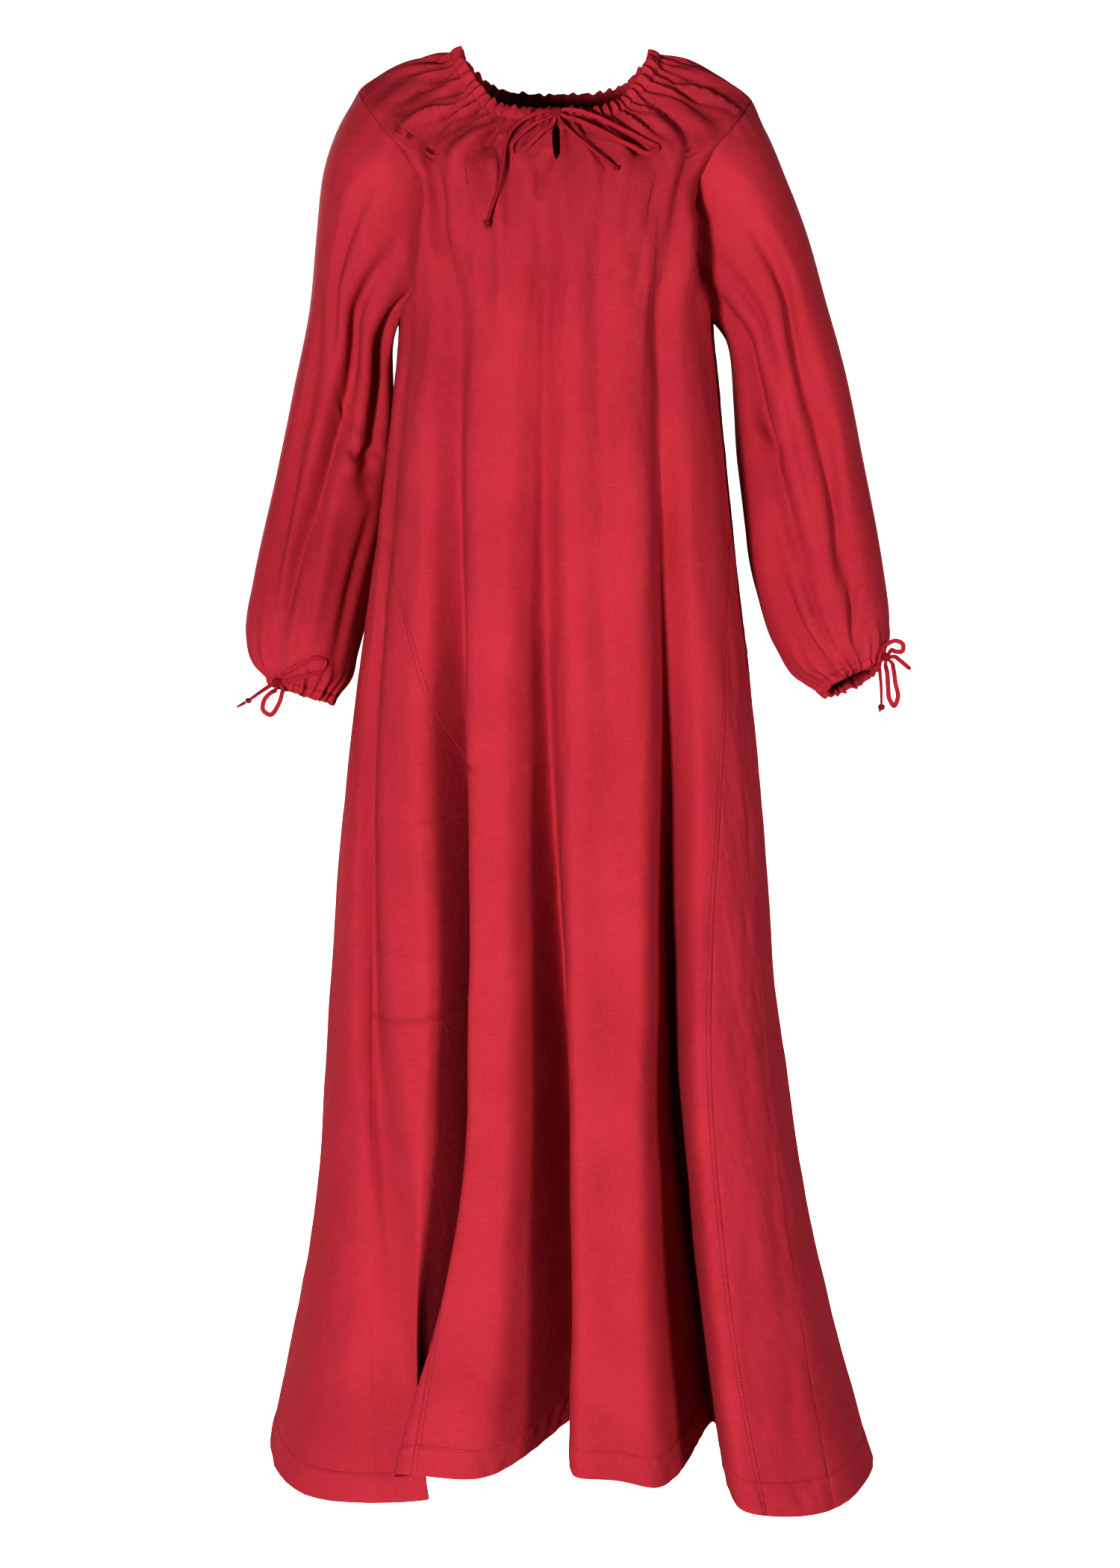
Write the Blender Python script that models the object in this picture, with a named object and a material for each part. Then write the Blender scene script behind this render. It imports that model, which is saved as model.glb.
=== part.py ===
# A long underdress with a drawn neck, full sleeves drawn in at the wrist, and side gores.
# It is filled out as when worn, with nobody in it. The front faces -Y and +Z is up.
# The origin is midway between the tops of the shoulders, where the wearer holds it up.
import bpy
import math
import numpy as np
from collections import defaultdict, namedtuple

# Cloth and sewing, in metres
WALL = 0.002              # cloth wall
SEAM_GAP = 0.0003         # between two pieces at a seam
MITRE_LIMIT = 0.001       # furthest that a piece's corner is drawn back for that gap
CASING_HEIGHT = 0.014     # neck tunnel that holds the drawstring
CASING_DEPTH = 0.005
CASING_UPRIGHT = 0.45     # how far the neck casing leans towards the vertical from the cloth's own slope
CUFF_CASING_HEIGHT = 0.011
CUFF_CASING_DEPTH = 0.0046
CORD_DIAMETER = 0.0038         # the free drawstrings, as round tubes
STRING_STEP = 2.1              # length of a tube's segment, in diameters
STRING_LEAST_POINTS = 5
# A casing's section from its foot, as shares of its height and depth
CASING_PROFILE = [(0.0, 0.22), (0.5, 0.55), (1.0, 0.0), (0.5, -0.5), (0.0, -0.22)]

# Neck
GATHER_HEIGHT = 0.0021         # from the middle of a gather to its crest
GATHER_FADE = 0.052            # how far down the cloth a gather runs
SLIT_HALF_WIDTHS = [0.0008, 0.0026, 0.0034, 0.0034, 0.0026]    # at the first rows; it closes at the next

# Grid of the cloth: intervals between the named levels
NECK_ROW_SHARES = [0.10, 0.20, 0.30, 0.50, 0.75, 1.00]
ROWS_ARMPIT_TO_GORE = 2
ROWS_GORE_TO_HEM = 11
FINE_ROWS = 4                  # rows under the neck with twice the columns, one gather to each two
FRONT_HALF_COLUMNS = 18
BACK_COLUMNS = 24
GORE_COLUMNS = {"front_gore_left": 16, "front_gore_right": 5, "back_gore_left": 8, "back_gore_right": 8}
SLEEVE_ROWS = 10
GATHERED_CUFF_ROWS = 2         # rows above the wrist that are gathered

# The body's level sections. fall is the way down the cloth at the side. z is the height at the front
# centre, at the left and right side and at the back centre. left and right are half widths, front and
# back the depths, and square rounds the section out towards a box.
Level = namedtuple("Level", "name fall z_front z_left z_right z_back left right front back square")
BODY_LEVELS = [
    Level("neck", 0.000, -0.071, 0.001, -0.003, -0.038, 0.103, 0.101, -0.088, 0.074, 0.00),
    Level("collar", 0.022, -0.080, 0.000, -0.004, -0.050, 0.120, 0.120, -0.095, 0.082, 0.00),
    Level("yoke", 0.062, -0.096, -0.008, -0.017, -0.072, 0.159, 0.156, -0.106, 0.094, 0.00),
    Level("shoulder", 0.103, -0.115, -0.031, -0.040, -0.098, 0.196, 0.192, -0.118, 0.104, 0.00),
    Level("armhole", 0.200, -0.182, -0.126, -0.131, -0.178, 0.184, 0.182, -0.142, 0.118, 0.00),
    Level("armpit", 0.330, -0.275, -0.262, -0.262, -0.272, 0.159, 0.158, -0.154, 0.126, 0.01),
    Level("chest", 0.395, -0.335, -0.327, -0.327, -0.335, 0.165, 0.164, -0.156, 0.130, 0.02),
    Level("waist", 0.580, -0.515, -0.512, -0.512, -0.515, 0.187, 0.185, -0.160, 0.140, 0.03),
    Level("hip", 0.760, -0.690, -0.692, -0.692, -0.692, 0.211, 0.206, -0.168, 0.155, 0.04),
    Level("thigh", 1.000, -0.918, -0.930, -0.930, -0.925, 0.230, 0.224, -0.188, 0.184, 0.05),
    Level("knee", 1.180, -1.088, -1.108, -1.108, -1.100, 0.242, 0.250, -0.208, 0.208, 0.05),
    Level("shin", 1.360, -1.258, -1.290, -1.290, -1.274, 0.275, 0.290, -0.230, 0.232, 0.05),
    Level("hem", 1.490, -1.358, -1.397, -1.412, -1.385, 0.299, 0.322, -0.250, 0.256, 0.05),
]
HEM_POWER = 8.0                # how suddenly the hem's line drops from the front and back towards the sides
FALL = {level.name: level.fall for level in BODY_LEVELS}
GORE_TOP = 0.520               # fall of the gores' upper points

# Long folds. Each is a trough. turn is where it runs round the body in degrees (0 front centre, 90 the
# right of the picture, 180 back) and deep is its depth in FOLD_UNIT, both at the stops in FOLD_FALLS. wide is
# its half width in degrees at the first and last stop, and lean draws its floor sideways.
Fold = namedtuple("Fold", "name turn deep wide lean")
FOLD_FALLS = [0.00, 0.12, 0.33, 0.58, 1.00, 1.18, 1.49]
LONG_FOLDS = [
    Fold("left_lobe_edge", (-62, -62, -62, -62, -45, -38, -33), (0, 0, 2, 9, 20, 16, 2), (5, 5), -0.50),
    Fold("front_left", (-46, -41, -37, -34, -23, -20, -22), (0, 14, 22, 28, 56, 78, 104), (6.5, 6.6), -0.42),
    Fold("front_centre", (-8, -8, -8, -8, -7, -6.5, -5.8), (0, 11, 18, 23, 50, 78, 118), (5.5, 5.2), 0.25),
    Fold("front_mid_right", (14, 14, 14, 13, 11, 11, 9), (0, 7, 8, 8, 10, 10, 8), (4.5, 5), 0.20),
    Fold("front_right", (50, 45, 41, 33, 25, 23, 23), (0, 14, 22, 30, 64, 100, 168), (6.5, 6.0), 0.24),
    Fold("side_right", (84, 84, 84, 80, 72, 70, 72), (0, 2, 4, 6, 14, 18, 24), (9, 9), 0.00),
    Fold("back_right_side", (132, 128, 124, 120, 116, 114, 112), (0, 8, 12, 16, 44, 66, 100), (8, 7), -0.30),
    Fold("back_right", (154, 153, 152, 150, 148, 147, 146), (0, 12, 16, 20, 40, 60, 105), (6, 7), -0.30),
    Fold("back_centre", (178, 178, 178, 177, 178, 179, 180), (0, 11, 16, 20, 48, 74, 122), (6, 7), 0.20),
    Fold("back_left", (-156, -155, -154, -152, -149, -148, -146), (0, 12, 17, 21, 42, 64, 112), (6, 7), 0.30),
    Fold("back_left_side", (-132, -129, -126, -121, -116, -113, -111), (0, 8, 12, 16, 40, 60, 96), (8, 7),
         0.30),
    Fold("side_left", (-86, -86, -86, -88, -84, -80, -76), (0, 2, 4, 6, 10, 13, 18), (9, 9), 0.00),
]
FOLD_UNIT = 0.001              # deep is in millimetres
# Crests that lap over the trough beside them: shift is how far the cloth is drawn sideways and rise how
# far it stands out, in millimetres, at the stops in LAP_FALLS. wide is the half width in degrees.
Lap = namedtuple("Lap", "name turn shift rise wide")
LAP_FALLS = [1.00, 1.18, 1.36, 1.49]
LAPS = [
    Lap("left_lobe", (-38, -35, -34, -34), (0, 14, 28, 56), (0, 0, 0, 0), 8),
    Lap("front_left_crest", (-12, -12, -13, -13), (0, 1, 2, 4), (0, 4, 12, 24), 5),
    Lap("right_lobe", (36, 34, 33, 34), (0, -3, -10, -30), (0, 0, 0, 0), 8),
]
TROUGH_LIFT = 0.20             # how much a trough's floor rises, for its depth and each metre below the waist

# Folds that fan out from the drawn neck. start and end are turns at the neck and where the fold dies
# out, reach is how far down the cloth that is, and deep its greatest depth in metres.
FanFold = namedtuple("FanFold", "name start end reach deep wide")
FAN_FOLDS = [
    FanFold("shoulder_left_front", -72, -70, 0.11, 0.008, 6.0),
    FanFold("breast_left_outer", -58, -52, 0.13, 0.007, 5.0),
    FanFold("breast_left_inner", -27, -23, 0.36, 0.010, 3.5),
    FanFold("beside_slit_left", -15, -14, 0.20, 0.006, 2.8),
    FanFold("beside_slit_right", 5, 5, 0.22, 0.006, 2.8),
    FanFold("breast_right_inner", 29, 28, 0.34, 0.009, 3.5),
    FanFold("breast_right_outer", 60, 55, 0.13, 0.007, 5.0),
    FanFold("shoulder_right_front", 72, 70, 0.11, 0.008, 6.0),
    FanFold("shoulder_right_back", 110, 112, 0.11, 0.007, 6.0),
    FanFold("back_right_inner", 166, 165, 0.30, 0.007, 4.0),
    FanFold("back_left_inner", -168, -166, 0.30, 0.007, 4.0),
    FanFold("shoulder_left_back", -110, -112, 0.11, 0.007, 6.0),
]

# Seams that run down the skirt: turn in degrees at each fall
SEAM_FALLS = [0.330, 0.520, 0.600, 0.690, 0.790, 1.000, 1.250, 1.490]
SEAMS = {
    "side_left": (-90, -74, -64, -58, -55, -47, -41, -38),
    "front_gore_left": (-90, -74, -50, -36, -26, -22, -20, -16),
    "back_gore_left": (-90, -74, -88, -100, -110, -122, -129, -132),
    "side_right": (90, 72, 66, 61, 57, 58, 55, 50),
    "front_gore_right": (90, 72, 60, 52, 45, 36, 33, 33),
    "back_gore_right": (90, 72, 86, 98, 108, 121, 128, 132),
}
ARMHOLE_FRONT = 43.0      # how far the armhole reaches round from the side, in degrees
ARMHOLE_BACK = 39.0
ARMHOLE_FALLS = [0.103, 0.107, 0.115, 0.130, 0.160, 0.205, 0.252, 0.292, 0.319, 0.330]
ARMHOLE_SHARES = [0.00, 0.32, 0.65, 0.92, 0.97, 0.87, 0.74, 0.58, 0.33, 0.00]
ARMHOLE_FOLD = 0.020      # depth of the fold that the armhole seam lies in
ARMHOLE_FOLD_FALLS = [0.145, 0.225, 0.280, 0.330]
ARMHOLE_FOLD_WIDTH = 9.5  # its half width in degrees

# The sleeves' sections, from the armhole to the wrist. share is the place down the sleeve, out_x, out_z
# the outer edge seen from the front, in_x, in_z the inner edge, y the middle, half the half depth and
# tilt how much the front edge is raised for that half depth.
SleeveRow = namedtuple("SleeveRow", "share out_x out_z in_x in_z y half tilt")
SLEEVE_LEFT = [
    SleeveRow(0.00, -0.194, -0.033, -0.159, -0.262, 0.000, 0.090, 0.00),
    SleeveRow(0.08, -0.214, -0.066, -0.165, -0.268, 0.001, 0.086, 0.00),
    SleeveRow(0.16, -0.229, -0.108, -0.167, -0.280, 0.010, 0.080, 0.00),
    SleeveRow(0.26, -0.240, -0.170, -0.165, -0.302, 0.034, 0.073, 0.00),
    SleeveRow(0.38, -0.250, -0.246, -0.164, -0.346, 0.050, 0.068, 0.00),
    SleeveRow(0.52, -0.268, -0.330, -0.167, -0.404, 0.058, 0.066, 0.00),
    SleeveRow(0.66, -0.287, -0.420, -0.175, -0.466, 0.053, 0.067, 0.00),
    SleeveRow(0.80, -0.305, -0.512, -0.188, -0.532, 0.030, 0.067, 0.00),
    SleeveRow(0.90, -0.311, -0.568, -0.197, -0.584, 0.008, 0.060, 0.00),
    SleeveRow(0.96, -0.302, -0.599, -0.206, -0.616, -0.004, 0.045, 0.05),
    SleeveRow(1.00, -0.287, -0.615, -0.222, -0.632, -0.010, 0.031, 0.10),
]
SLEEVE_RIGHT = [
    SleeveRow(0.00, 0.191, -0.041, 0.158, -0.262, 0.000, 0.090, 0.00),
    SleeveRow(0.08, 0.211, -0.077, 0.164, -0.268, 0.001, 0.086, 0.00),
    SleeveRow(0.16, 0.228, -0.118, 0.171, -0.280, 0.003, 0.080, 0.00),
    SleeveRow(0.26, 0.250, -0.177, 0.175, -0.300, 0.006, 0.074, 0.00),
    SleeveRow(0.38, 0.271, -0.246, 0.177, -0.342, 0.009, 0.070, 0.00),
    SleeveRow(0.52, 0.294, -0.332, 0.181, -0.398, 0.010, 0.070, 0.00),
    SleeveRow(0.66, 0.312, -0.420, 0.189, -0.460, 0.006, 0.071, 0.00),
    SleeveRow(0.80, 0.327, -0.505, 0.200, -0.524, -0.002, 0.069, 0.00),
    SleeveRow(0.90, 0.332, -0.556, 0.218, -0.580, -0.010, 0.061, 0.08),
    SleeveRow(0.96, 0.330, -0.580, 0.240, -0.612, -0.016, 0.046, 0.20),
    SleeveRow(1.00, 0.322, -0.598, 0.262, -0.623, -0.020, 0.032, 0.34),
]
# Troughs down a sleeve. turn is round the sleeve in degrees: 0 its outer edge, 90 the front, 180 the
# inner edge. It is given at the armhole end and at the wrist end of the fold.
SleeveFold = namedtuple("SleeveFold", "name start end from_share to_share deep wide")
SLEEVE_FOLDS_LEFT = [
    SleeveFold("outer_crease", 62, 78, 0.16, 0.98, 0.013, 13),
    SleeveFold("inner_crease", 128, 120, 0.30, 0.98, 0.009, 13),
    SleeveFold("back_crease", 236, 244, 0.20, 0.98, 0.012, 15),
    SleeveFold("back_outer_crease", 306, 300, 0.25, 0.98, 0.009, 14),
]
SLEEVE_FOLDS_RIGHT = [
    SleeveFold("inner_crease", 132, 112, 0.22, 0.80, 0.012, 13),
    SleeveFold("outer_crease", 62, 70, 0.30, 0.98, 0.008, 14),
    SleeveFold("back_crease", 240, 244, 0.20, 0.98, 0.012, 15),
    SleeveFold("back_outer_crease", 306, 296, 0.25, 0.98, 0.009, 14),
]
CUFF_GATHER_HEIGHT = 0.0022
CUFF_GATHER_SHARE = 0.16       # share of the sleeve over which the wrist gathers fade

# Knots: place in metres and radius
Knot = namedtuple("Knot", "place radius")
KNOTS = {
    "neck_bow_knot": Knot((0.000, -0.0943, -0.0660), 0.0060),
    "neck_string_knot_left": Knot((-0.0660, -0.1370, -0.1745), 0.0036),
    "neck_string_knot_right": Knot((0.0572, -0.1190, -0.1215), 0.0030),
    "cuff_bow_knot_left": Knot((-0.2770, -0.0424, -0.6150), 0.0050),
    "cuff_string_knot_left": Knot((-0.3050, -0.0450, -0.6335), 0.0034),
    "cuff_bow_knot_right": Knot((0.3270, -0.0392, -0.5905), 0.0050),
    "cuff_string_knot_right": Knot((0.3225, -0.0430, -0.6400), 0.0038),
}
KNOT_CLEARANCE = 0.00035       # between a knot and the end of a string
STRING_LEAD = 0.003            # a string's first stretch, which leaves the knot squarely
# Free strings. start and finish are the angles at which a string leaves its knot and comes back, in
# degrees in the upright plane (0 to the right of the picture, 90 up). A free end has no finish: it
# stops at its last place, or at the knot named in tied.
String = namedtuple("String", "name knot start finish tied route")
STRINGS = [
    String("neck_string_end_left", "neck_bow_knot", 172, None, "neck_string_knot_left", [
        (-0.0140, -0.0970, -0.0660), (-0.0270, -0.0945, -0.0705), (-0.0390, -0.0975, -0.0790),
        (-0.0475, -0.1050, -0.0940), (-0.0510, -0.1155, -0.1165), (-0.0545, -0.1262, -0.1385),
        (-0.0606, -0.1338, -0.1587), (-0.0640, -0.1364, -0.1680)]),
    String("neck_bow_loop_left", "neck_bow_knot", 214, 255, None, [
        (-0.0135, -0.0975, -0.0735), (-0.0235, -0.0978, -0.0790), (-0.0345, -0.1005, -0.0880),
        (-0.0425, -0.1060, -0.0995), (-0.0404, -0.1100, -0.1086), (-0.0312, -0.1075, -0.1035),
        (-0.0222, -0.1035, -0.0940), (-0.0125, -0.1010, -0.0845)]),
    String("neck_bow_loop_right", "neck_bow_knot", 15, -25, None, [
        (0.0170, -0.0960, -0.0645), (0.0340, -0.0945, -0.0690), (0.0610, -0.0950, -0.0815),
        (0.0840, -0.0965, -0.0930), (0.0965, -0.1005, -0.1010), (0.0905, -0.1030, -0.1055),
        (0.0680, -0.1075, -0.0980), (0.0410, -0.1015, -0.0840), (0.0195, -0.0980, -0.0740)]),
    String("neck_string_end_right", "neck_bow_knot", -66, None, "neck_string_knot_right", [
        (0.0085, -0.0995, -0.0805), (0.0220, -0.1062, -0.0930), (0.0390, -0.1130, -0.1075),
        (0.0532, -0.1172, -0.1184)]),
    String("cuff_bow_loop_upper_left", "cuff_bow_knot_left", 50, 2, None, [
        (-0.2660, -0.0495, -0.6044), (-0.2508, -0.0520, -0.5967), (-0.2360, -0.0515, -0.5908),
        (-0.2284, -0.0480, -0.5949), (-0.2321, -0.0485, -0.6029), (-0.2458, -0.0505, -0.6082),
        (-0.2608, -0.0490, -0.6125), (-0.2655, -0.0462, -0.6140)]),
    String("cuff_bow_loop_lower_left", "cuff_bow_knot_left", -50, -100, None, [
        (-0.2718, -0.0470, -0.6274), (-0.2755, -0.0460, -0.6379), (-0.2838, -0.0450, -0.6476),
        (-0.2904, -0.0450, -0.6431), (-0.2895, -0.0460, -0.6334), (-0.2818, -0.0470, -0.6250)]),
    String("cuff_string_end_left", "cuff_bow_knot_left", -150, None, "cuff_string_knot_left", [
        (-0.2923, -0.0465, -0.6245), (-0.3018, -0.0452, -0.6311)]),
    String("cuff_bow_loop_upper_right", "cuff_bow_knot_right", 105, 53, None, [
        (0.3283, -0.0440, -0.5772), (0.3356, -0.0440, -0.5742), (0.3430, -0.0440, -0.5779),
        (0.3424, -0.0440, -0.5846), (0.3360, -0.0440, -0.5850)]),
    String("cuff_string_end_upper_right", "cuff_bow_knot_right", 2, None, None, [
        (0.3400, -0.0440, -0.5935), (0.3507, -0.0430, -0.6024)]),
    String("cuff_bow_loop_lower_right", "cuff_bow_knot_right", -46, -93, None, [
        (0.3340, -0.0440, -0.6028), (0.3362, -0.0430, -0.6165), (0.3387, -0.0420, -0.6314),
        (0.3350, -0.0420, -0.6390), (0.3308, -0.0420, -0.6329), (0.3288, -0.0430, -0.6187),
        (0.3275, -0.0440, -0.6045)]),
    String("cuff_string_end_lower_right", "cuff_bow_knot_right", -141, None, "cuff_string_knot_right", [
        (0.3205, -0.0440, -0.6045), (0.3220, -0.0430, -0.6202), (0.3224, -0.0430, -0.6357)]),
]

DENSE = 721                    # points used to measure a section's length
BEND_LENGTH = 0.040            # a bend of one radian draws as many columns as this length of cloth


def smooth(xs, ys, x):
    """A smooth curve through a table: cubic, with the slope at each row set by its neighbours."""
    xs = np.asarray(xs, float)
    ys = np.asarray(ys, float)
    slopes = np.gradient(ys, xs)
    x = np.clip(x, xs[0], xs[-1])
    i = np.clip(np.searchsorted(xs, x, side="right") - 1, 0, len(xs) - 2)
    h = xs[i + 1] - xs[i]
    t = (x - xs[i]) / h
    rise = ys[i] * (1 + 2 * t) * (1 - t) ** 2 + ys[i + 1] * t * t * (3 - 2 * t)
    return rise + h * (slopes[i] * t * (1 - t) ** 2 - slopes[i + 1] * t * t * (1 - t))


def level_value(column, fall):
    return smooth([r.fall for r in BODY_LEVELS], [getattr(r, column) for r in BODY_LEVELS], fall)


def turn_between(a, b):
    """The way round from b to a, from -180 to 180 degrees."""
    return (a - b + 180.0) % 360.0 - 180.0


def bell(x, half_width):
    return np.exp(-((x / half_width) ** 2))


def body_base(turn, fall):
    """The unfolded body at these turns, in degrees, and this fall."""
    a = np.radians(turn)
    sine, cosine = np.sin(a), np.cos(a)
    square = level_value("square", fall)
    across = (sine + square * np.sin(3 * a)) / (1 - square)
    along = (cosine - square * np.cos(3 * a)) / (1 - square)
    right = sine > 0
    ahead = cosine > 0
    x = across * np.where(right, level_value("right", fall), level_value("left", fall))
    y = along * np.where(ahead, level_value("front", fall), -level_value("back", fall))
    z_side = np.where(right, level_value("z_right", fall), level_value("z_left", fall))
    z_end = np.where(ahead, level_value("z_front", fall), level_value("z_back", fall))
    neck_share = 1 - np.abs(sine) ** 4.2
    skirt_share = np.abs(cosine) ** (2 + HEM_POWER * (fall / FALL["hem"]) ** 3)
    share = neck_share + (skirt_share - neck_share) * min(1.0, fall / FALL["armhole"])
    return np.stack([x, y, z_side + (z_end - z_side) * share], axis=-1)


def unit(v):
    return v / np.maximum(np.linalg.norm(v, axis=-1, keepdims=True), 1e-12)


def fold_depths(turn, fall):
    """(how deep the troughs are, how far they draw the cloth sideways) at these turns."""
    deep = np.zeros_like(turn)
    aside = np.zeros_like(turn)
    ends = (FOLD_FALLS[0], FOLD_FALLS[-1])
    for f in LONG_FOLDS:
        depth = FOLD_UNIT * max(0.0, float(smooth(FOLD_FALLS, f.deep, fall)))
        width = np.interp(fall, ends, f.wide)
        trough = depth * bell(turn_between(turn, smooth(FOLD_FALLS, f.turn, fall)), width)
        deep += trough
        aside += f.lean * trough
    if fall > LAP_FALLS[0]:
        for lap in LAPS:
            here = bell(turn_between(turn, smooth(LAP_FALLS, lap.turn, fall)), lap.wide)
            aside += FOLD_UNIT * smooth(LAP_FALLS, lap.shift, fall) * here
            deep -= FOLD_UNIT * smooth(LAP_FALLS, lap.rise, fall) * here
    for f in FAN_FOLDS:
        if fall < f.reach:
            share = fall / f.reach
            here = f.start + (f.end - f.start) * share
            deep += f.deep * math.sin(math.pi * share ** 0.7) * bell(turn_between(turn, here), f.wide)
    hollow = ARMHOLE_FOLD * float(np.interp(fall, ARMHOLE_FOLD_FALLS, [0, 1, 1, 0]))
    if hollow > 0:
        for side, reach in ((-1, ARMHOLE_FRONT), (1, ARMHOLE_FRONT), (-1, -ARMHOLE_BACK), (1, -ARMHOLE_BACK)):
            seam = side * (90 - reach * armhole_opening(fall))
            deep += hollow * bell(turn_between(turn, seam), ARMHOLE_FOLD_WIDTH)
    return deep, aside


def body_surface(turn, fall, gather=0.0):
    """The folded cloth. gather is 1 on a gather's crest and -1 in its trough."""
    turn = np.asarray(turn, float)
    step = 0.25
    here = body_base(turn, fall)
    round_it = unit(body_base(turn + step, fall) - body_base(turn - step, fall))
    near = min(max(fall, 0.002), FALL["hem"] - 0.002)
    down = body_base(turn, near + 0.002) - body_base(turn, near - 0.002)
    slope = unit(np.cross(down, round_it))
    level_share = min(1.0, max(0.0, (fall - FALL["shoulder"]) / (FALL["armpit"] - FALL["shoulder"])))
    out = unit(slope * [1, 1, 1 - level_share])
    deep, aside = fold_depths(turn, fall)
    lift = GATHER_HEIGHT * max(0.0, 1 - fall / GATHER_FADE) * np.asarray(gather)
    across = unit(round_it * [1, 1, 1 - level_share])
    raised = np.stack([0 * deep, 0 * deep, TROUGH_LIFT * deep * max(0.0, fall - FALL["waist"])], axis=-1)
    return here + out * (lift - deep)[..., None] + across * aside[..., None] + raised


def columns_between(start, end, fall, count):
    """The turns of count + 1 columns from one seam to the next, closer together where the cloth bends."""
    turns = np.linspace(start, end, DENSE)
    steps = np.diff(body_surface(turns, fall), axis=0)
    lengths = np.linalg.norm(steps, axis=1)
    cosines = np.clip(np.sum(unit(steps[1:]) * unit(steps[:-1]), axis=1), -1, 1)
    bends = np.concatenate([[0], np.arccos(cosines)])
    bend_length = BEND_LENGTH * min(1.0, fall / FALL["armpit"])
    run = np.concatenate([[0], np.cumsum(lengths + bend_length * bends)])
    return np.interp(np.linspace(0, run[-1], count + 1), run, turns)


def seam_turn(name, fall):
    if fall <= SEAM_FALLS[0]:
        return SEAMS[name][0]
    return float(smooth(SEAM_FALLS, SEAMS[name], fall))


def armhole_opening(fall):
    """How open the armhole is at this fall: 0 at its top and foot, 1 at its widest."""
    if not FALL["shoulder"] < fall < FALL["armpit"]:
        return 0.0
    return float(np.interp(fall, ARMHOLE_FALLS, ARMHOLE_SHARES))


def row_falls():
    """The falls of the cloth's rows, from the neck to the hem, with the armhole's own rows between."""
    falls = [0.0] + [FALL["shoulder"] * share for share in NECK_ROW_SHARES] + ARMHOLE_FALLS[1:]
    for start, end, count, power in (
        (FALL["armpit"], GORE_TOP, ROWS_ARMPIT_TO_GORE, 1.0),
        (GORE_TOP, FALL["hem"], ROWS_GORE_TO_HEM, 1.2),
    ):
        falls += [start + (end - start) * ((k + 1) / count) ** power for k in range(count)]
    return falls


ROWS = row_falls()
SHOULDER_ROW = len(NECK_ROW_SHARES)
ARMPIT_ROW = SHOULDER_ROW + len(ARMHOLE_FALLS) - 1
GORE_ROW = ARMPIT_ROW + ROWS_ARMPIT_TO_GORE


def panel_ends(fall):
    """Turns of the four vertical edges of the front and back panels at this fall."""
    front = ARMHOLE_FRONT * armhole_opening(fall)
    back = ARMHOLE_BACK * armhole_opening(fall)
    below = fall > GORE_TOP + 1e-9
    left, right = ("front_gore_left", "front_gore_right") if below else ("side_left", "side_right")
    back_left, back_right = ("back_gore_left", "back_gore_right") if below else ("side_left", "side_right")
    return {
        "front_left": seam_turn(left, fall) + front,
        "front_right": seam_turn(right, fall) - front,
        "back_left": seam_turn(back_left, fall) - back,
        "back_right": seam_turn(back_right, fall) + back,
    }


def gather_wave(count, fine):
    """Crest, trough, crest along a fine row; a plain row lies between them."""
    return np.array([1.0 if k % 2 else -1.0 for k in range(count + 1)]) if fine else 0.0


def front_half(side):
    """Rows of points of one half of the front, from its outer edge to the front centre."""
    rows = []
    for k, fall in enumerate(ROWS):
        fine = k < FINE_ROWS
        count = FRONT_HALF_COLUMNS * (2 if fine else 1)
        edge = panel_ends(fall)["front_left" if side < 0 else "front_right"]
        slit = side * SLIT_HALF_WIDTHS[k] if k < len(SLIT_HALF_WIDTHS) else 0.0
        middle = math.degrees(math.asin(slit / level_value("right", fall)))
        turns = columns_between(edge, middle, fall, count)
        points = body_surface(turns, fall, gather_wave(count, fine))
        points[-1, 0] = slit
        rows.append(points)
    return rows


def back_panel():
    rows = []
    for k, fall in enumerate(ROWS):
        fine = k < FINE_ROWS
        count = BACK_COLUMNS * (2 if fine else 1)
        ends = panel_ends(fall)
        turns = columns_between(ends["back_right"], ends["back_left"] + 360.0, fall, count)
        rows.append(body_surface(turns, fall, gather_wave(count, fine)))
    return rows


def gore(name):
    """Rows of points of one gore, from its point down to the hem."""
    side = "left" if name.endswith("left") else "right"
    rows = []
    for fall in ROWS[GORE_ROW:]:
        inner = seam_turn(name, fall)
        turns = columns_between(inner, seam_turn(f"side_{side}", fall), fall, GORE_COLUMNS[name])
        rows.append(body_surface(turns, fall))
    return rows


def armhole_loop(front_rows, back_rows, front_column, back_column):
    """Points round one armhole: its top, down the front edge, its foot, and up the back edge."""
    span = range(SHOULDER_ROW, ARMPIT_ROW + 1)
    down = [front_rows[k][front_column] for k in span]
    up = [back_rows[k][back_column] for k in reversed(span)]
    return np.array(down + up[1:-1])


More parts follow.
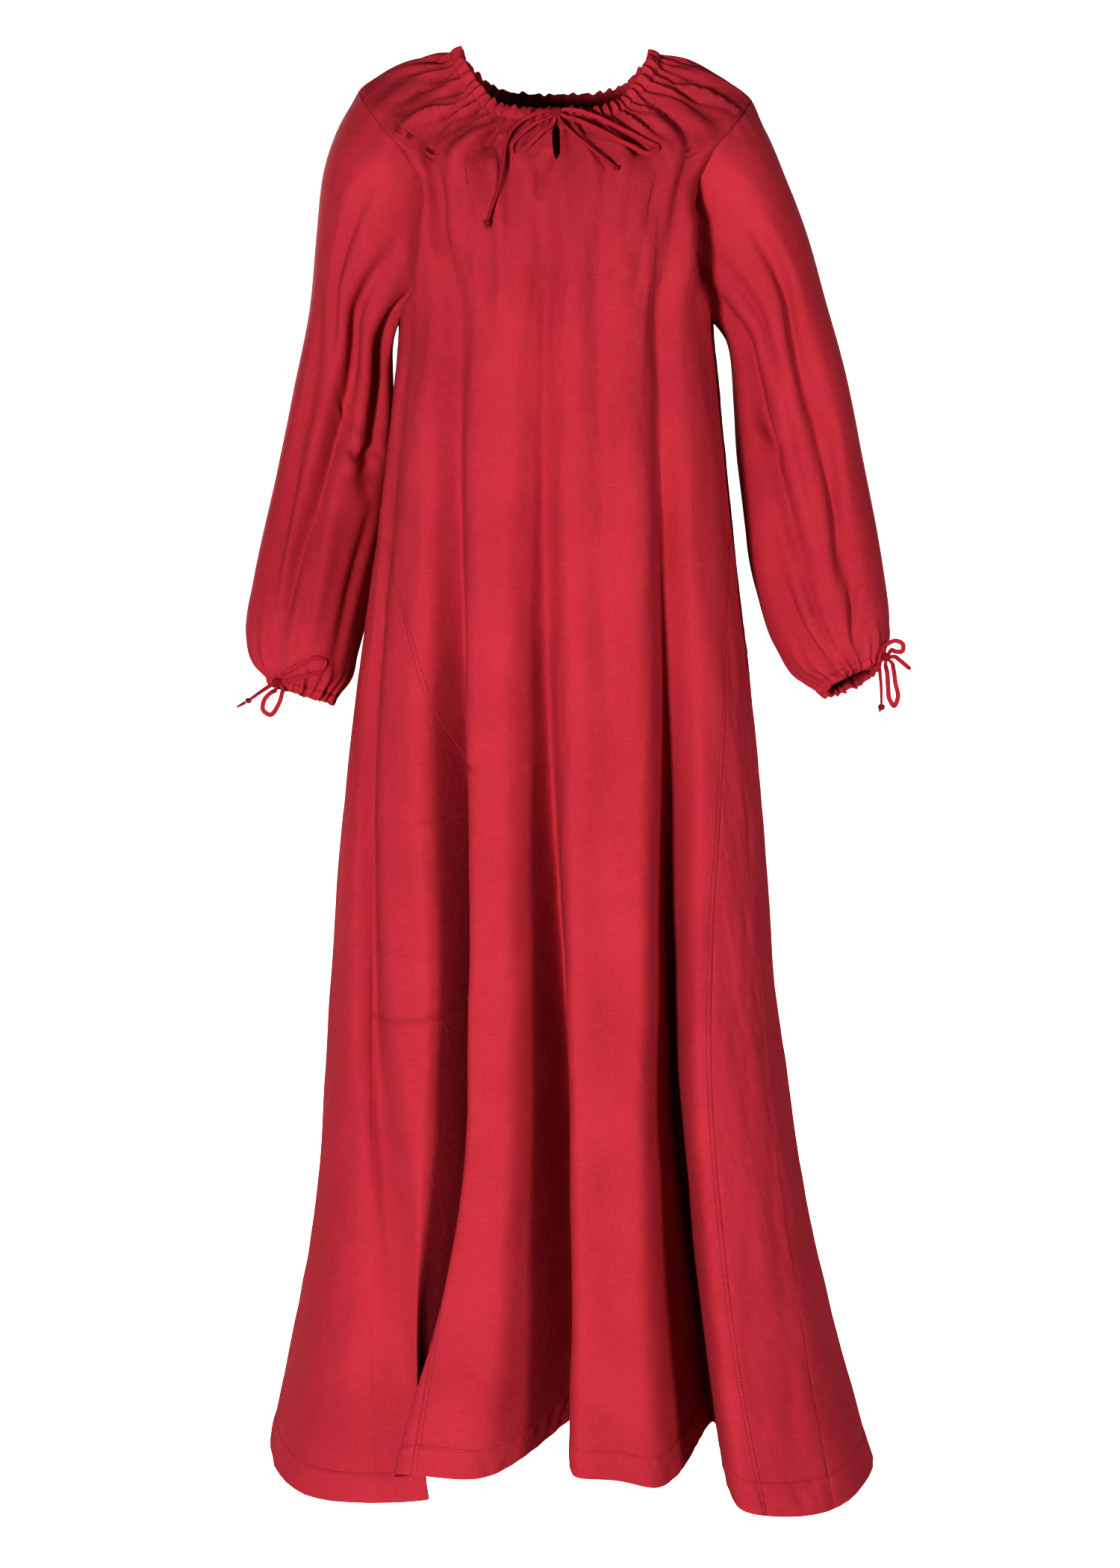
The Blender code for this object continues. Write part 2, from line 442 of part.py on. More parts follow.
def sleeve(rows_table, folds, corners):
    """Rings of points from the armhole to the wrist, with twice the armhole's points from the second on."""
    shares = [r.share for r in rows_table]
    middles = (corners + np.roll(corners, -1, axis=0)) / 2
    loop = np.stack([corners, middles], axis=1).reshape(-1, 3)
    count = len(loop)
    half = count // 2
    steps = np.diff(np.vstack([loop, loop[:1]]), axis=0)
    along = np.concatenate([[0], np.cumsum(np.linalg.norm(steps, axis=1))])
    down_front = along[: half + 1] / along[half] * 180.0
    up_back = 180.0 + (along[half:count] - along[half]) / (along[count] - along[half]) * 180.0
    turns = np.concatenate([down_front[:-1], up_back])
    even = np.arange(count) * 360.0 / count

    def ring(share, at, gathered):
        names = SleeveRow._fields[1:]
        value = {name: float(smooth(shares, [getattr(r, name) for r in rows_table], share)) for name in names}
        outer = np.array([value["out_x"], value["y"], value["out_z"]])
        inner = np.array([value["in_x"], value["y"], value["in_z"]])
        middle, arm = (outer + inner) / 2, (outer - inner) / 2
        a = np.radians(at)
        deep = np.zeros(len(at))
        for f in folds:
            if f.from_share < share < f.to_share:
                local = (share - f.from_share) / (f.to_share - f.from_share)
                where = f.start + (f.end - f.start) * local
                deep += f.deep * math.sin(math.pi * local) ** 0.7 * bell(turn_between(at, where), f.wide)
        gather = CUFF_GATHER_HEIGHT * max(0.0, 1 - (1 - share) / CUFF_GATHER_SHARE)
        wave = gather * np.where(np.arange(len(at)) % 2, 1.0, -1.0) if gathered else 0.0
        size = 1 + (wave - deep) / np.hypot(np.linalg.norm(arm) * np.cos(a), value["half"] * np.sin(a))
        depth = value["half"] * np.array([0, -1, value["tilt"]])
        flat = np.cos(a)[:, None] * arm + np.sin(a)[:, None] * depth
        return middle + flat * size[:, None]

    first = ring(0.0, turns, False)
    rings = [corners]
    for k in range(1, SLEEVE_ROWS + 1):
        share = k / SLEEVE_ROWS
        settle = min(1.0, share / 0.30)
        settle = settle * settle * (3 - 2 * settle)
        at = turns + (even - turns) * settle
        rings.append(ring(share, at, k > SLEEVE_ROWS - GATHERED_CUFF_ROWS) + (loop - first) * (1 - settle))
    return rings


class Skin:
    """One piece's outer surface: points shared by place, and faces."""

    def __init__(self, name):
        self.name = name
        self.points = []
        self.index = {}
        self.faces = []

    def vertex(self, p):
        key = tuple(np.round(p, 6))
        if key not in self.index:
            self.index[key] = len(self.points)
            self.points.append(np.array(p, float))
        return self.index[key]

    def face(self, corners):
        corners = [c for k, c in enumerate(corners) if c != corners[k - 1]]
        if len(corners) > 2:
            self.faces.append(corners)

    def loft(self, rows, closed=False, flip=False):
        """Faces between rows of points. A row may have half or twice the columns of the one above it."""
        ids = [[self.vertex(p) for p in row] for row in rows]
        for upper, lower in zip(ids, ids[1:]):
            fewer = min(len(upper), len(lower))
            high_step, low_step = round(len(upper) / fewer), round(len(lower) / fewer)
            for i in range(fewer if closed else fewer - 1):
                high = [upper[(high_step * i + s) % len(upper)] for s in range(high_step + 1)]
                low = [lower[(low_step * i + s) % len(lower)] for s in range(low_step + 1)]
                for corners in self.triangles(high, low):
                    self.face(corners[::-1] if flip else corners)

    def triangles(self, high, low):
        """A cell as triangles, cut the same way on both sides of the wall."""
        if len(high) == 3:
            return [[low[0], high[1], high[0]], [low[0], low[1], high[1]], [low[1], high[2], high[1]]]
        if len(low) == 3:
            return [[low[0], low[1], high[0]], [low[1], high[1], high[0]], [low[1], low[2], high[1]]]
        p = [self.points[v] for v in (*high, *low)]
        if np.linalg.norm(p[0] - p[3]) < np.linalg.norm(p[1] - p[2]):
            return [[low[0], low[1], high[0]], [low[1], high[1], high[0]]]
        return [[low[0], low[1], high[1]], [low[0], high[1], high[0]]]


def face_normal(points, corners):
    """Area-weighted normal of a face."""
    p = [points[c] for c in corners]
    return sum(np.cross(p[k] - p[0], p[k + 1] - p[0]) for k in range(1, len(p) - 1))


def shared_normals(skins):
    """One outward normal for each place, the same for every piece that meets there."""
    total = defaultdict(lambda: np.zeros(3))
    for skin in skins:
        for corners in skin.faces:
            n = face_normal(skin.points, corners)
            n = n / max(np.linalg.norm(n), 1e-12)
            for k, c in enumerate(corners):
                a = unit(skin.points[corners[k - 1]] - skin.points[c])
                b = unit(skin.points[corners[(k + 1) % len(corners)]] - skin.points[c])
                angle = math.acos(max(-1.0, min(1.0, float(a @ b))))
                total[tuple(np.round(skin.points[c], 6))] += n * angle
    return {key: value / max(np.linalg.norm(value), 1e-12) for key, value in total.items()}


def edge_shifts(skin, normals):
    """How far each point on the piece's edge moves in, to leave half the seam gap."""
    seen = defaultdict(list)
    for corners in skin.faces:
        for k, c in enumerate(corners):
            d = corners[(k + 1) % len(corners)]
            seen[(min(c, d), max(c, d))].append((c, d))
    shifts = defaultdict(list)
    for uses in seen.values():
        if len(uses) == 1:
            c, d = uses[0]
            along = unit(skin.points[d] - skin.points[c])
            for v in (c, d):
                shifts[v].append(unit(np.cross(normals[v], along)))
    moved = {}
    for v, inward in shifts.items():
        total = sum(inward)
        mitre = 1 + float(inward[0] @ inward[-1]) if len(inward) > 1 else 1.0
        shift = SEAM_GAP / 2 * total / max(mitre, 0.01)
        moved[v] = shift * min(1.0, MITRE_LIMIT / np.linalg.norm(shift))
    return moved, [uses[0] for uses in seen.values() if len(uses) == 1]


def wall_object(skin, place_normals, material):
    """The piece as a closed wall: its outer surface, the same moved in, and a rim round every edge.

    Both pieces at a seam cut the rim's cells the same way, so that the gap between them stays even.
    """
    normals = [place_normals[tuple(np.round(p, 6))] for p in skin.points]
    moved, rim = edge_shifts(skin, normals)
    outer = [p + moved.get(v, 0.0) for v, p in enumerate(skin.points)]
    inner = [p - WALL * n for p, n in zip(outer, normals)]
    count = len(outer)
    faces = [list(f) for f in skin.faces]
    faces += [[c + count for c in reversed(f)] for f in skin.faces]
    for c, d in rim:
        if tuple(skin.points[c]) < tuple(skin.points[d]):
            faces += [[d, c, d + count], [c, c + count, d + count]]
        else:
            faces += [[d, c, c + count], [d, c + count, d + count]]
    return mesh_object(skin.name, outer + inner, faces, material)


def mesh_object(name, points, faces, material):
    mesh = bpy.data.meshes.new(name)
    mesh.from_pydata([tuple(map(float, p)) for p in points], [], faces)
    mesh.materials.append(material)
    mesh.shade_smooth()
    mesh.set_sharp_from_angle(angle=math.radians(60))
    made = bpy.data.objects.new(name, mesh)
    DRESS.objects.link(made)
    return made


def casing(name, edge, below, place_normals, size, closed, flip, material):
    """The tunnel above a gathered edge: a soft band, thickest at the middle, where the string runs.

    size is its height, its depth and how far it leans towards the vertical.
    """
    height, depth, upright = size
    gap = SEAM_GAP * 1.5
    rings = []
    outs = np.array([place_normals[tuple(np.round(p, 6))] for p in edge])
    for k, (here, under) in enumerate(zip(edge, below)):
        near = [(k + s) % len(edge) if closed else min(max(k + s, 0), len(edge) - 1) for s in range(-2, 3)]
        along = unit(edge[near[-1]] - edge[near[0]])
        if not closed and k in (0, len(edge) - 1):
            along = np.array([1.0, 0.0, 0.0])
        slope = unit(here - under) + [0, 0, upright]
        up = unit(slope - along * float(along @ slope))
        normal = unit(outs[near].sum(axis=0))
        out = np.cross(along, up)
        out = out * math.copysign(1.0, float(out @ normal))
        foot = gap + abs(float(up @ normal)) * (WALL + depth * CASING_PROFILE[0][1])
        middle = here - out * WALL / 2 + up * foot
        rings.append([middle + up * (height * rise) + out * (depth * side) for rise, side in CASING_PROFILE])
    points = [p for ring in rings for p in ring]
    sides = len(CASING_PROFILE)
    faces = []
    last = len(rings) if closed else len(rings) - 1
    for k in range(last):
        n = (k + 1) % len(rings)
        for s in range(sides):
            t = (s + 1) % sides
            faces.append([k * sides + s, k * sides + t, n * sides + t, n * sides + s])
    if not closed:
        faces.append([s for s in reversed(range(sides))])
        faces.append([(len(rings) - 1) * sides + s for s in range(sides)])
    if flip:
        faces = [f[::-1] for f in faces]
    return mesh_object(name, points, faces, material)


def beside(knot, angle, further=0.0):
    """A place beside a knot, where a string leaves it at this angle in the upright plane."""
    away = KNOTS[knot].radius + KNOT_CLEARANCE + further
    a = math.radians(angle)
    return np.array(KNOTS[knot].place) + away * np.array([math.cos(a), 0.0, math.sin(a)])


def string_route(string):
    """All the places a string passes, with its ends beside their knots."""
    points = [beside(string.knot, string.start), beside(string.knot, string.start, STRING_LEAD)]
    points += [np.array(p) for p in string.route]
    if string.finish is not None:
        points += [beside(string.knot, string.finish, STRING_LEAD), beside(string.knot, string.finish)]
    if string.tied:
        knot = KNOTS[string.tied]
        away = unit(points[-1] - np.array(knot.place))
        points[-1] = np.array(knot.place) + away * (knot.radius + KNOT_CLEARANCE)
    return np.array(points)


def string_object(string, material):
    """A free string as a tube along a smooth curve through its places."""
    guide = string_route(string)
    run = np.concatenate([[0], np.cumsum(np.linalg.norm(np.diff(guide, axis=0), axis=1))])
    count = max(STRING_LEAST_POINTS, round(run[-1] / (STRING_STEP * CORD_DIAMETER)))
    last = run[-1] if string.finish is None else run[-2]
    at = [0.0, *np.linspace(run[1], last, count), run[-1]]
    line = np.stack([smooth(run, guide[:, k], np.array(sorted(set(at)))) for k in range(3)], axis=1)
    data = bpy.data.curves.new(string.name, "CURVE")
    data.dimensions = "3D"
    spline = data.splines.new("POLY")
    spline.points.add(len(line) - 1)
    for point, p in zip(spline.points, line):
        point.co = (*map(float, p), 1.0)
    data.bevel_depth = CORD_DIAMETER / 2
    data.bevel_resolution = 2
    data.use_fill_caps = True
    data.materials.append(material)
    made = bpy.data.objects.new(string.name, data)
    DRESS.objects.link(made)
    return made


def knot_object(name, knot, material):
    """A small tight knot in a drawstring."""
    bpy.ops.mesh.primitive_uv_sphere_add(segments=8, ring_count=5, radius=knot.radius, location=knot.place)
    made = bpy.context.object
    made.name = name
    made.data.name = name
    made.data.materials.append(material)
    for owner in list(made.users_collection):
        owner.objects.unlink(made)
    DRESS.objects.link(made)
    return made


def cloth_material(name, colour, roughness):
    material = bpy.data.materials.new(name)
    material.use_nodes = True
    shader = material.node_tree.nodes["Principled BSDF"]
    shader.inputs["Base Color"].default_value = (*colour, 1.0)
    shader.inputs["Roughness"].default_value = roughness
    shader.inputs["Metallic"].default_value = 0.0
    return material


def clear_scene():
    for found in list(bpy.data.objects):
        bpy.data.objects.remove(found, do_unlink=True)


clear_scene()
DRESS = bpy.data.collections.new("underdress")
bpy.context.scene.collection.children.link(DRESS)
CLOTH = cloth_material("red_cotton", (0.42, 0.030, 0.048), 0.85)
STRING_COLOUR = cloth_material("red_cord", (0.38, 0.028, 0.044), 0.80)

left_rows, right_rows, back_rows = front_half(-1), front_half(1), back_panel()
front = Skin("front_panel")
front.loft(left_rows)
front.loft(right_rows, flip=True)
back = Skin("back_panel")
back.loft(back_rows)
skins = [front, back]
for gore_name in GORE_COLUMNS:
    skins.append(Skin(gore_name))
    skins[-1].loft(gore(gore_name), flip=gore_name in ("front_gore_left", "back_gore_right"))

loop_left = armhole_loop(left_rows, back_rows, 0, -1)
loop_right = armhole_loop(right_rows, back_rows, 0, 0)
rings_left = sleeve(SLEEVE_LEFT, SLEEVE_FOLDS_LEFT, loop_left)
rings_right = sleeve(SLEEVE_RIGHT, SLEEVE_FOLDS_RIGHT, loop_right)
for sleeve_name, rings, turned in (("sleeve_left", rings_left, False), ("sleeve_right", rings_right, True)):
    skins.append(Skin(sleeve_name))
    skins[-1].loft(rings, closed=True, flip=turned)

normals = shared_normals(skins)
for skin in skins:
    wall_object(skin, normals, CLOTH)

neck_edge = [*left_rows[0][::-1], *back_rows[0][::-1][1:-1], *right_rows[0]]
neck_below = [*left_rows[1][::-1], *back_rows[1][::-1][1:-1], *right_rows[1]]
neck_size = (CASING_HEIGHT, CASING_DEPTH, CASING_UPRIGHT)
casing("neck_casing", neck_edge, neck_below, normals, neck_size, False, False, CLOTH)
cuff_size = (CUFF_CASING_HEIGHT, CUFF_CASING_DEPTH, 0.0)
for side, rings, turned in (("left", rings_left, False), ("right", rings_right, True)):
    casing("cuff_casing_" + side, rings[-1], rings[-2], normals, cuff_size, True, turned, CLOTH)

for string in STRINGS:
    string_object(string, STRING_COLOUR)
for knot_name, knot in KNOTS.items():
    knot_object(knot_name, knot, STRING_COLOUR)
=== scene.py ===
# A long crimson underdress with a drawn neck, full drawn sleeves and side gores, filled out as when worn.
# Cloth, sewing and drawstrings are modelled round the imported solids.
import math
import bpy
import numpy as np
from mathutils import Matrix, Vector


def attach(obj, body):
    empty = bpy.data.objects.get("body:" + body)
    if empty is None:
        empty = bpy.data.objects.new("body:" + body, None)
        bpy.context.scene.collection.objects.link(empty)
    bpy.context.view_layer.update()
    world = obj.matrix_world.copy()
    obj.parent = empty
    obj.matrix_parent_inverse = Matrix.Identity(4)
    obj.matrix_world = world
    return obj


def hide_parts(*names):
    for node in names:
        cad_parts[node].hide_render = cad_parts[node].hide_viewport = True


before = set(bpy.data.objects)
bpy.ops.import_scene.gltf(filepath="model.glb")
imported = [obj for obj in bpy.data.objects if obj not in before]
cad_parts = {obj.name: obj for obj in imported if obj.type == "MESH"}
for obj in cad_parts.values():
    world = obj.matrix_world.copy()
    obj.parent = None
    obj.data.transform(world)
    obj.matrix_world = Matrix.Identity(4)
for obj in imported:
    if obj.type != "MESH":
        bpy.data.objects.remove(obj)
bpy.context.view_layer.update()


def deselectAll():
    bpy.ops.object.select_all(action="DESELECT")


def aimAt(thing, place, aim):
    thing.rotation_euler = (Vector(aim) - Vector(place)).to_track_quat("-Z", "Y").to_euler()


deselectAll()
print("frame loaded with", len(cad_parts), "solids")

# Camera, level with the chest and looking a little down
cameraSettings = {"place": (0.0037, -3.0, -0.44), "aim": (0.0037, 0.0, -0.7207), "angle": 29.41, "sensor": 36.0}
bpy.ops.object.camera_add(location=cameraSettings["place"])
camera = bpy.context.object
camera.name = "studioCamera"
aimAt(camera, cameraSettings["place"], cameraSettings["aim"])
camera.data.sensor_width = cameraSettings["sensor"]
camera.data.lens = cameraSettings["sensor"] / 2 / math.tan(math.radians(cameraSettings["angle"] / 2))
bpy.context.scene.camera = camera


# Small helpers for numbers
def unit(v):
    return v / np.maximum(np.linalg.norm(v, axis=-1, keepdims=True), 1e-12)


def squareTo(v, along):  # v without its part along a direction
    return unit(v - along * np.sum(v * along, axis=-1, keepdims=True))


def eachAxis(change, points):  # the same change to each coordinate of a line of points
    return np.stack([change(column) for column in points.T], axis=1)


def swept(line, first, second, a, b):  # a section that is a along first and b along second, at each point of a line
    return line[:, None] + first[:, None] * a[..., None] + second[:, None] * b[..., None]


def smoothCurve(xs, ys, x):  # cubic through a table, each slope set by the neighbours
    xs, ys = np.asarray(xs, float), np.asarray(ys, float)
    slopes = np.gradient(ys, xs)
    x = np.clip(x, xs[0], xs[-1])
    i = np.clip(np.searchsorted(xs, x, side="right") - 1, 0, len(xs) - 2)
    h = xs[i + 1] - xs[i]
    t = (x - xs[i]) / h
    rise = ys[i] * (1 + 2 * t) * (1 - t) ** 2 + ys[i + 1] * t * t * (3 - 2 * t)
    return rise + h * (slopes[i] * t * (1 - t) ** 2 - slopes[i + 1] * t * t * (1 - t))


def bell(x, halfWidth):
    return np.exp(-((x / halfWidth) ** 2))


def fade(x, start, end):  # 0 before start, 1 after end
    t = np.clip((x - start) / (end - start), 0, 1)
    return t * t * (3 - 2 * t)


def signedPower(x, power):
    return np.sign(x) * np.abs(x) ** power


def turnBetween(a, b):
    return (a - b + 180.0) % 360.0 - 180.0


def ripple(across, down, seed, waves, acrossLength, downLength):
    # Gentle uneven waves, the same ones each time. Lengths are the wavelengths' shortest and longest, in metres.
    rng = np.random.default_rng(seed)
    total = 0.0
    for _ in range(waves):
        kx = math.tau / rng.uniform(*acrossLength) * rng.choice([-1, 1])
        ky = math.tau / rng.uniform(*downLength)
        total = total + np.sin(kx * across + ky * down + rng.uniform(0, math.tau))
    return total / math.sqrt(waves)


# Materials
def feed(tree, node, inputs):  # each input takes a value, or the socket that feeds it
    for key, value in inputs.items():
        if isinstance(value, bpy.types.NodeSocket):
            tree.links.new(value, node.inputs[key])
        else:
            node.inputs[key].default_value = value
    return node


def addNode(tree, kind, inputs=None, **values):
    node = tree.nodes.new(kind)
    for key, value in values.items():
        setattr(node, key, value)
    return feed(tree, node, inputs or {})


def mathNode(tree, operation, *values):
    return addNode(tree, "ShaderNodeMath", dict(enumerate(values)), operation=operation).outputs[0]


def newGroup(name, inputs):  # a node group that takes a vector and these values, and puts out a height and a shade
    tree = bpy.data.node_groups.new(name, "ShaderNodeTree")
    tree.interface.new_socket(name="Vector", in_out="INPUT", socket_type="NodeSocketVector")
    for label, value in inputs.items():
        tree.interface.new_socket(name=label, in_out="INPUT", socket_type="NodeSocketFloat").default_value = value
    for label in ("Height", "Shade"):
        tree.interface.new_socket(name=label, in_out="OUTPUT", socket_type="NodeSocketFloat")
    return tree, tree.nodes.new("NodeGroupInput").outputs, tree.nodes.new("NodeGroupOutput")


weaveLook = {"slubs": ((2600.0, 70.0, 1.0), (60.0, 2300.0, 1.0)),  # stretched along the warp and along the weft
             "crossingHeight": 0.5, "slubHeight": 2.0, "crossingShade": 0.06}


def plainWeaveGroup():
    # Threads over and under each other, uneven in thickness and dye. The vector is in metres on the cloth.
    tree, inlet, outlet = newGroup("plainWeave", {"Thread": 0.0005, "Unevenness": 0.5})
    split = addNode(tree, "ShaderNodeSeparateXYZ", {0: inlet["Vector"]})
    waves = []
    for axis in ("X", "Y"):
        threads = mathNode(tree, "DIVIDE", split.outputs[axis], inlet["Thread"])
        waves.append(mathNode(tree, "SINE", mathNode(tree, "MULTIPLY", threads, math.pi)))
    crossing = mathNode(tree, "MULTIPLY", *waves)
    streaks = []
    for stretch in weaveLook["slubs"]:
        mapped = addNode(tree, "ShaderNodeMapping", {"Scale": stretch, "Vector": inlet["Vector"]})
        noise = addNode(tree, "ShaderNodeTexNoise", {"Scale": 1.0, "Detail": 2.0, "Vector": mapped.outputs[0]},
                        noise_dimensions="2D")
        streaks.append(mathNode(tree, "SUBTRACT", noise.outputs["Fac"], 0.5))
    slubs = mathNode(tree, "MULTIPLY", mathNode(tree, "ADD", *streaks), inlet["Unevenness"])
    feed(tree, outlet, {
        "Height": mathNode(tree, "ADD", mathNode(tree, "MULTIPLY", crossing, weaveLook["crossingHeight"]),
                           mathNode(tree, "MULTIPLY", slubs, weaveLook["slubHeight"])),
        "Shade": mathNode(tree, "ADD", slubs, mathNode(tree, "MULTIPLY", crossing, weaveLook["crossingShade"]))})
    return tree


def softCrumpleGroup():
    # The faint rumples that washing leaves in cotton, and slow changes of its dye
    tree, inlet, outlet = newGroup("softCrumple", {"Size": 45.0})
    crumple = addNode(tree, "ShaderNodeTexNoise", {
        "Vector": inlet["Vector"], "Scale": inlet["Size"], "Detail": 4.0, "Roughness": 0.55, "Distortion": 0.6},
        noise_dimensions="2D")
    dye = addNode(tree, "ShaderNodeTexNoise", {"Vector": inlet["Vector"], "Scale": 9.0, "Detail": 5.0},
                  noise_dimensions="2D")
    feed(tree, outlet, {"Height": crumple.outputs["Fac"], "Shade": dye.outputs["Fac"]})
    return tree


weaveGroup, crumpleGroup = plainWeaveGroup(), softCrumpleGroup()
cottonLooks = {
    "cloth": {"name": "crimsonCotton", "dark": (0.27, 0.021, 0.032), "light": (0.46, 0.050, 0.071),
              "thread": 0.00052, "uneven": 0.60},
    "tape": {"name": "crimsonTape", "dark": (0.23, 0.015, 0.025), "light": (0.40, 0.034, 0.053),
             "thread": 0.00048, "uneven": 0.60},
    "thread": {"name": "crimsonThread", "dark": (0.25, 0.015, 0.026), "light": (0.42, 0.034, 0.054),
               "thread": 0.00030, "uneven": 0.30},
}
cottonFinish = {"Roughness": 0.82, "Sheen Weight": 0.04, "Sheen Roughness": 0.50, "Sheen Tint": (1.0, 0.25, 0.30, 1),
                "Specular IOR Level": 0.04}
cottonRelief = {"weave": 0.00012, "crumple": 0.0009, "dye": 0.55, "tone": 0.55}


def cotton(look):
    material = bpy.data.materials.new(look["name"])
    material.use_nodes = True
    tree = material.node_tree
    uv = addNode(tree, "ShaderNodeUVMap", uv_map="UVMap").outputs["UV"]
    weave = addNode(tree, "ShaderNodeGroup", {"Thread": look["thread"], "Unevenness": look["uneven"], "Vector": uv},
                    node_tree=weaveGroup)
    crumple = addNode(tree, "ShaderNodeGroup", {"Vector": uv}, node_tree=crumpleGroup)
    dye = mathNode(tree, "MULTIPLY", mathNode(tree, "SUBTRACT", crumple.outputs["Shade"], 0.5), cottonRelief["dye"])
    tone = mathNode(tree, "ADD", mathNode(tree, "ADD", weave.outputs["Shade"], dye), cottonRelief["tone"])
    ramp = addNode(tree, "ShaderNodeValToRGB", {"Fac": tone})
    for end, shade in zip(ramp.color_ramp.elements, ("dark", "light")):
        end.color = (*look[shade], 1)
    heights = [mathNode(tree, "MULTIPLY", group.outputs["Height"], cottonRelief[kind])
               for group, kind in ((weave, "weave"), (crumple, "crumple"))]
    bump = addNode(tree, "ShaderNodeBump", {"Strength": 1.0, "Distance": 1.0,
                                            "Height": mathNode(tree, "ADD", *heights)})
    feed(tree, tree.nodes["Principled BSDF"], {"Base Color": ramp.outputs["Color"], "Normal": bump.outputs["Normal"],
                                               **cottonFinish})
    return material


materials = {kind: cotton(look) for kind, look in cottonLooks.items()}
print("materials made:", ", ".join(m.name for m in materials.values()))


# Shared ways of making a piece
def mergeDoubles(threshold):
    bpy.ops.object.mode_set(mode="EDIT")
    bpy.ops.mesh.select_all(action="SELECT")
    bpy.ops.mesh.remove_doubles(threshold=threshold)
    bpy.ops.object.mode_set(mode="OBJECT")


def closeTube(openEnds=True):  # caps the ends, where they are open, and turns the faces outwards
    bpy.ops.object.mode_set(mode="EDIT")
    if openEnds:
        bpy.ops.mesh.select_all(action="DESELECT")
        bpy.ops.mesh.select_non_manifold()
        bpy.ops.mesh.edge_face_add()
    bpy.ops.mesh.select_all(action="SELECT")
    bpy.ops.mesh.normals_make_consistent(inside=False)
    bpy.ops.object.mode_set(mode="OBJECT")


def joined(pieces):
    deselectAll()
    for piece in pieces:
        piece.select_set(True)
    bpy.context.view_layer.objects.active = pieces[0]
    bpy.ops.object.join()
    return bpy.context.object


def applyModifier(piece, kind, name, **values):
    bpy.context.view_layer.objects.active = piece
    modifier = piece.modifiers.new(name, kind)
    for key, value in values.items():
        setattr(modifier, key, value)
    bpy.ops.object.modifier_apply(modifier=name)


def finishPiece(piece, name, material, nodes=(), smoothAngle=55.0):
    piece.name = piece.data.name = name
    piece.data.materials.clear()
    piece.data.materials.append(materials[material])
    deselectAll()
    piece.select_set(True)
    bpy.context.view_layer.objects.active = piece
    bpy.ops.object.shade_smooth_by_angle(angle=math.radians(smoothAngle))
    deselectAll()
    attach(piece, "root")
    if nodes:
        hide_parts(*nodes)
    return piece


def nodeOf(name):  # frontPanel stands for the node front_panel
    return "".join("_" + letter.lower() if letter.isupper() else letter for letter in name)


def gridPiece(points, uvs, closed=False, flip=False):
    # A grid primitive whose rows run from the top of the cloth (first) to its foot (last)
    rows, columns = points.shape[0] - 1, points.shape[1] - 1
    deselectAll()
    bpy.ops.mesh.primitive_grid_add(x_subdivisions=columns, y_subdivisions=rows, size=1)
    piece = bpy.context.object
    places, uvOrder = (grid[::-1, ::-1 if flip else 1].reshape(-1, grid.shape[-1]) for grid in (points, uvs))
    piece.data.vertices.foreach_set("co", places.reshape(-1).astype(np.float32))
    corners = np.zeros(len(piece.data.loops), np.int32)
    piece.data.loops.foreach_get("vertex_index", corners)
    piece.data.uv_layers[0].name = "UVMap"
    piece.data.uv_layers[0].data.foreach_set("uv", uvOrder[corners].reshape(-1).astype(np.float32))
    piece.data.update()
    if closed:
        mergeDoubles(0.00002)
    return piece


def gridNormals(points, wrap=False):
    # Outward normals of a grid with rows down the cloth and columns round it
    if wrap:
        padded = np.concatenate([points[:, -2:-1], points, points[:, 1:2]], axis=1)
        across = padded[:, 2:] - padded[:, :-2]
    else:
        across = np.gradient(points, axis=1)
    return unit(np.cross(np.gradient(points, axis=0), across))


def runAlong(points):  # distance along each row or line of points
    steps = np.linalg.norm(np.diff(points, axis=-2), axis=-1)
    start = np.zeros(steps.shape[:-1] + (1,))
    return np.concatenate([start, np.cumsum(steps, axis=-1)], axis=-1)


def smoothLoop(values, reach, closed):
    kernel = np.hanning(2 * reach + 1)
    kernel /= kernel.sum()
    if closed:
        padded = np.concatenate([values[-reach:], values, values[:reach]])
    else:
        padded = np.concatenate([np.repeat(values[:1], reach, 0), values, np.repeat(values[-1:], reach, 0)])
    return eachAxis(lambda column: np.convolve(column, kernel, "valid"), padded)


# Drawstrings: a flat tape about 5 mm wide, tied in bows at the neck and at both wrists
tapeSettings = {"width": 0.0046, "thickness": 0.0017, "sides": 14, "step": 0.0011, "lead": 0.003,
                "clearance": 0.00035, "intoKnot": 0.0022, "edgePower": 0.55, "facePower": 0.75, "pinch": 0.25,
                "pinchReach": 0.05}
knots = {  # place and radius
    "neck_bow_knot": ((0.000, -0.0943, -0.0660), 0.0060),
    "neck_string_knot_left": ((-0.0660, -0.1370, -0.1745), 0.0036),
    "neck_string_knot_right": ((0.0572, -0.1190, -0.1215), 0.0030),
    "cuff_bow_knot_left": ((-0.2770, -0.0424, -0.6150), 0.0050),
    "cuff_string_knot_left": ((-0.3050, -0.0450, -0.6335), 0.0034),
    "cuff_bow_knot_right": ((0.3270, -0.0392, -0.5905), 0.0050),
    "cuff_string_knot_right": ((0.3225, -0.0430, -0.6400), 0.0038),
}
